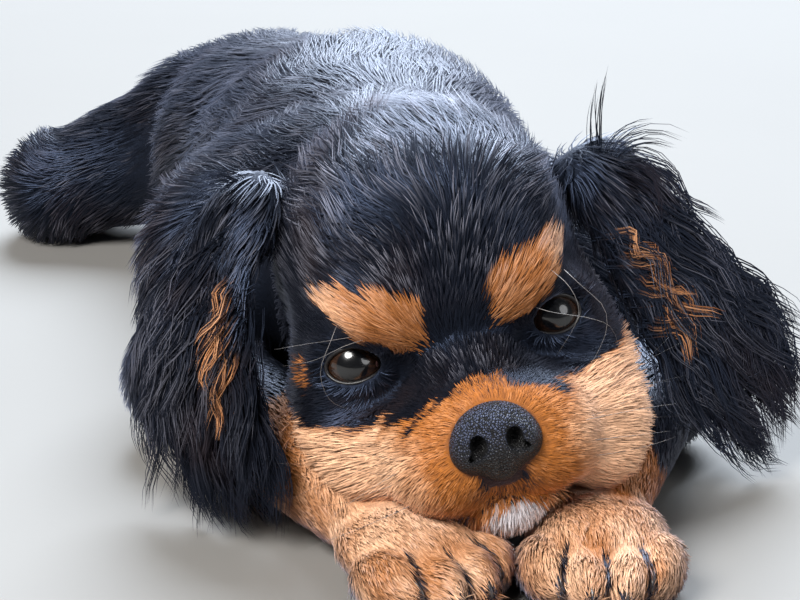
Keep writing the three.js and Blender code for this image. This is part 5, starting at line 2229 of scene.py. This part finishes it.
@dataclass
class Whiskers:
    """Whiskers of the muzzle and the long hairs over the eyes, in the head's frame."""

    head: Head
    seed: int = 311
    steps: int = 12
    around: int = 5
    radius: float = 0.07
    root: Vec = (17.5, -33.0, -13.0)  # of the foremost whisker in the top row
    pace: Range = (6.5, 4.5)  # along a row, and from row to row
    length: Range = (16, 36)

    def tubes(self, lines: Points) -> Draft:
        """Slim tubes that taper to their tips."""
        size = self.radius * (1.0 - 0.8 * np.linspace(0, 1, self.steps))
        side = np.array([0.31, 0.22, 0.92])
        hairs = [swept(line, side, size, size, self.around) for line in lines]
        return Draft.joined(hairs).laid(self.head.placing)

    def muzzle_lines(self, pale: bool) -> Points:
        """Whiskers in rows along each lip cushion, swept out and back."""
        rng = np.random.default_rng(self.seed + pale)
        s = np.linspace(0, 1, self.steps)[:, None]
        wide, front, top = self.root
        lines = []
        for side, row, k in product((-1, 1), range(3), range(1 if pale else 4)):
            y = front + self.pace[0] * k + rng.uniform(-1, 1)
            z = top - self.pace[1] * row + rng.uniform(-1, 1)
            root = np.array([side * (wide + 0.25 * (y - front)), y, z])
            back, up = rng.uniform(-0.25, 0.55), rng.uniform(-0.25, 0.35) - 0.12 * row
            way = unit(np.array([side * 1.0, back, up]))
            length = rng.uniform(*self.length)
            bend = np.array([side * -0.1, rng.uniform(0.25, 0.6), rng.uniform(-0.5, 0.25)])
            lines.append(root + length * (way * s + bend * 0.5 * s * s) - way * 2.0)
        return np.array(lines)

    def brow_lines(self) -> Points:
        """The long hairs over each eye, which arch down round it."""
        shapes = (
            (
                (-27, -13, 16), (-29.5, -17, 14), (-33, -18, 9), (-33.5, -17, 3.5), (-32, -16, -1),
                (-28.5, -15, -4),
            ),
            ((-24, -12, 12), (-29, -16, 14), (-34, -17, 15), (-42, -15, 15)),
            ((-22, -13, 11), (-27, -16.5, 12), (-34, -15, 10), (-41, -11, 9)),
            ((24, -11, 15), (26.5, -15.5, 12), (27.5, -17, 7), (25.6, -17, 2.5), (20.5, -16, -3.5)),
            (
                (27, -10, 14), (30, -14, 10), (33.5, -15, 4.5), (33, -15, -1.2), (29.5, -15, -6.5),
                (26.5, -15, -9.5),
            ),
            ((18, -12.5, 8), (22, -15.5, 6.5), (29.5, -16.5, 3.4), (34.5, -14, -1.5), (35.5, -12, -9.8)),
        )
        s = np.linspace(0, 1, self.steps)
        return np.array([along_curve(np.array(shape, float), s) for shape in shapes])

    def build(self, bench: Bench, wardrobe: Wardrobe) -> None:
        """Sets the whiskers down."""
        pale = self.tubes(np.concatenate([self.muzzle_lines(True), self.brow_lines()]))
        bench.piece("whiskers_dark", self.tubes(self.muzzle_lines(False)), wardrobe["whisker"], Slot.BLACK)
        bench.piece("whiskers_pale", pale, wardrobe["pale_whisker"], Slot.TAN)


@dataclass(frozen=True)
class Studio:
    """A pale floor, soft lights and the camera."""

    camera: Vec = (0.0, -611.0, 272.0)
    heading: float = -1.2295
    fall: float = 19.1468
    lens: float = 124.92
    sensor: float = 36.0
    aim: Vec = (-10, 60, 40)  # what the lights point at
    floor_size: float = 24000.0
    floor_cells: int = 8
    lights: tuple[tuple[str, Vec, float, float, Vec], ...] = (
        ("key", (-700, -900, 1300), 900, 52.0, (1.0, 0.985, 0.96)),
        ("fill", (1100, -900, 700), 1000, 8.0, (0.97, 0.98, 1.0)),
        ("back", (200, 2300, 2300), 2400, 330.0, (0.80, 0.89, 1.0)),
    )
    surround: Colour = (0.80, 0.86, 0.96, 1)
    surround_strength: float = 0.10

    def build(self, bench: Bench, wardrobe: Wardrobe) -> None:
        """Makes floor, lights, surround and camera."""
        half, cells = self.floor_size / 2, self.floor_cells
        line = np.linspace(-half, half, cells + 1)
        x, y = np.meshgrid(line, line, indexing="ij")
        points = np.stack([x, y, np.zeros_like(x)], -1).reshape(-1, 3)
        i, j = np.meshgrid(np.arange(cells), np.arange(cells), indexing="ij")
        a = i * (cells + 1) + j
        faces = np.stack([a, a + cells + 1, a + cells + 2, a + 1], -1).reshape(-1, 4)
        bench.mesh("floor", Draft(points, [faces]), wardrobe["floor"])
        for name, spot, size, power, tint in self.lights:
            data = bpy.data.lights.new(name, "AREA")
            data.shape, data.size = "DISK", size * MILLIMETRE
            data.energy, data.color = power, tint
            self._hung(data, bench.at(spot), bench.at(self.aim) - bench.at(spot))
        world = bpy.data.worlds.new("surround")
        world.use_nodes = True
        shade = world.node_tree.nodes["Background"].inputs
        shade["Color"].default_value = self.surround
        shade["Strength"].default_value = self.surround_strength
        data = bpy.data.cameras.new("camera")
        data.lens, data.sensor_width = self.lens, self.sensor
        a, b = math.radians(self.heading), math.radians(self.fall)
        ahead = Vector((math.sin(a) * math.cos(b), math.cos(a) * math.cos(b), -math.sin(b)))
        scene = bpy.context.scene
        scene.camera = self._hung(data, bench.at(self.camera), ahead)
        scene.world = world
        scene.view_settings.view_transform = "Standard"

    @staticmethod
    def _hung(data: bpy.types.ID, spot: Vector, ahead: Vector) -> bpy.types.Object:
        """A light or a camera set up at a spot, pointing ahead."""
        made = bpy.data.objects.new(data.name, data)
        made.location = spot
        made.rotation_mode = "QUATERNION"
        made.rotation_quaternion = ahead.to_track_quat("-Z", "Y")
        bpy.context.scene.collection.objects.link(made)
        return made


def main() -> None:
    """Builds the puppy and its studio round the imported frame."""
    logging.basicConfig(level=logging.INFO, format="%(relativeCreated)7.0f ms %(message)s")
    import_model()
    anatomy = Anatomy()
    markings = Markings(anatomy)
    bench, wardrobe = Bench(), Wardrobe()
    skin = Skin(anatomy, markings)
    skin.build(bench, wardrobe)
    nose = Nose()
    nose.build(bench, wardrobe, anatomy.head)
    for eye in anatomy.head.eyes:
        EyeMaker(eye).build(bench, wardrobe, anatomy.head)
    Coat(anatomy, markings, skin, nose).build(bench, wardrobe)
    growing = Growing(anatomy)
    for ear in anatomy.ears:
        EarLocks(ear, growing, 640 + ear.side.value).build(bench, wardrobe)
    TailPlume(anatomy, growing).build(bench, wardrobe)
    for leg in anatomy.legs:
        PawMaker(leg.paw, leg.name).build(bench, wardrobe)
    Whiskers(anatomy.head).build(bench, wardrobe)
    Studio().build(bench, wardrobe)
    log.info("%d triangles in all", bench.triangles)


if __name__ == "__main__":
    main()
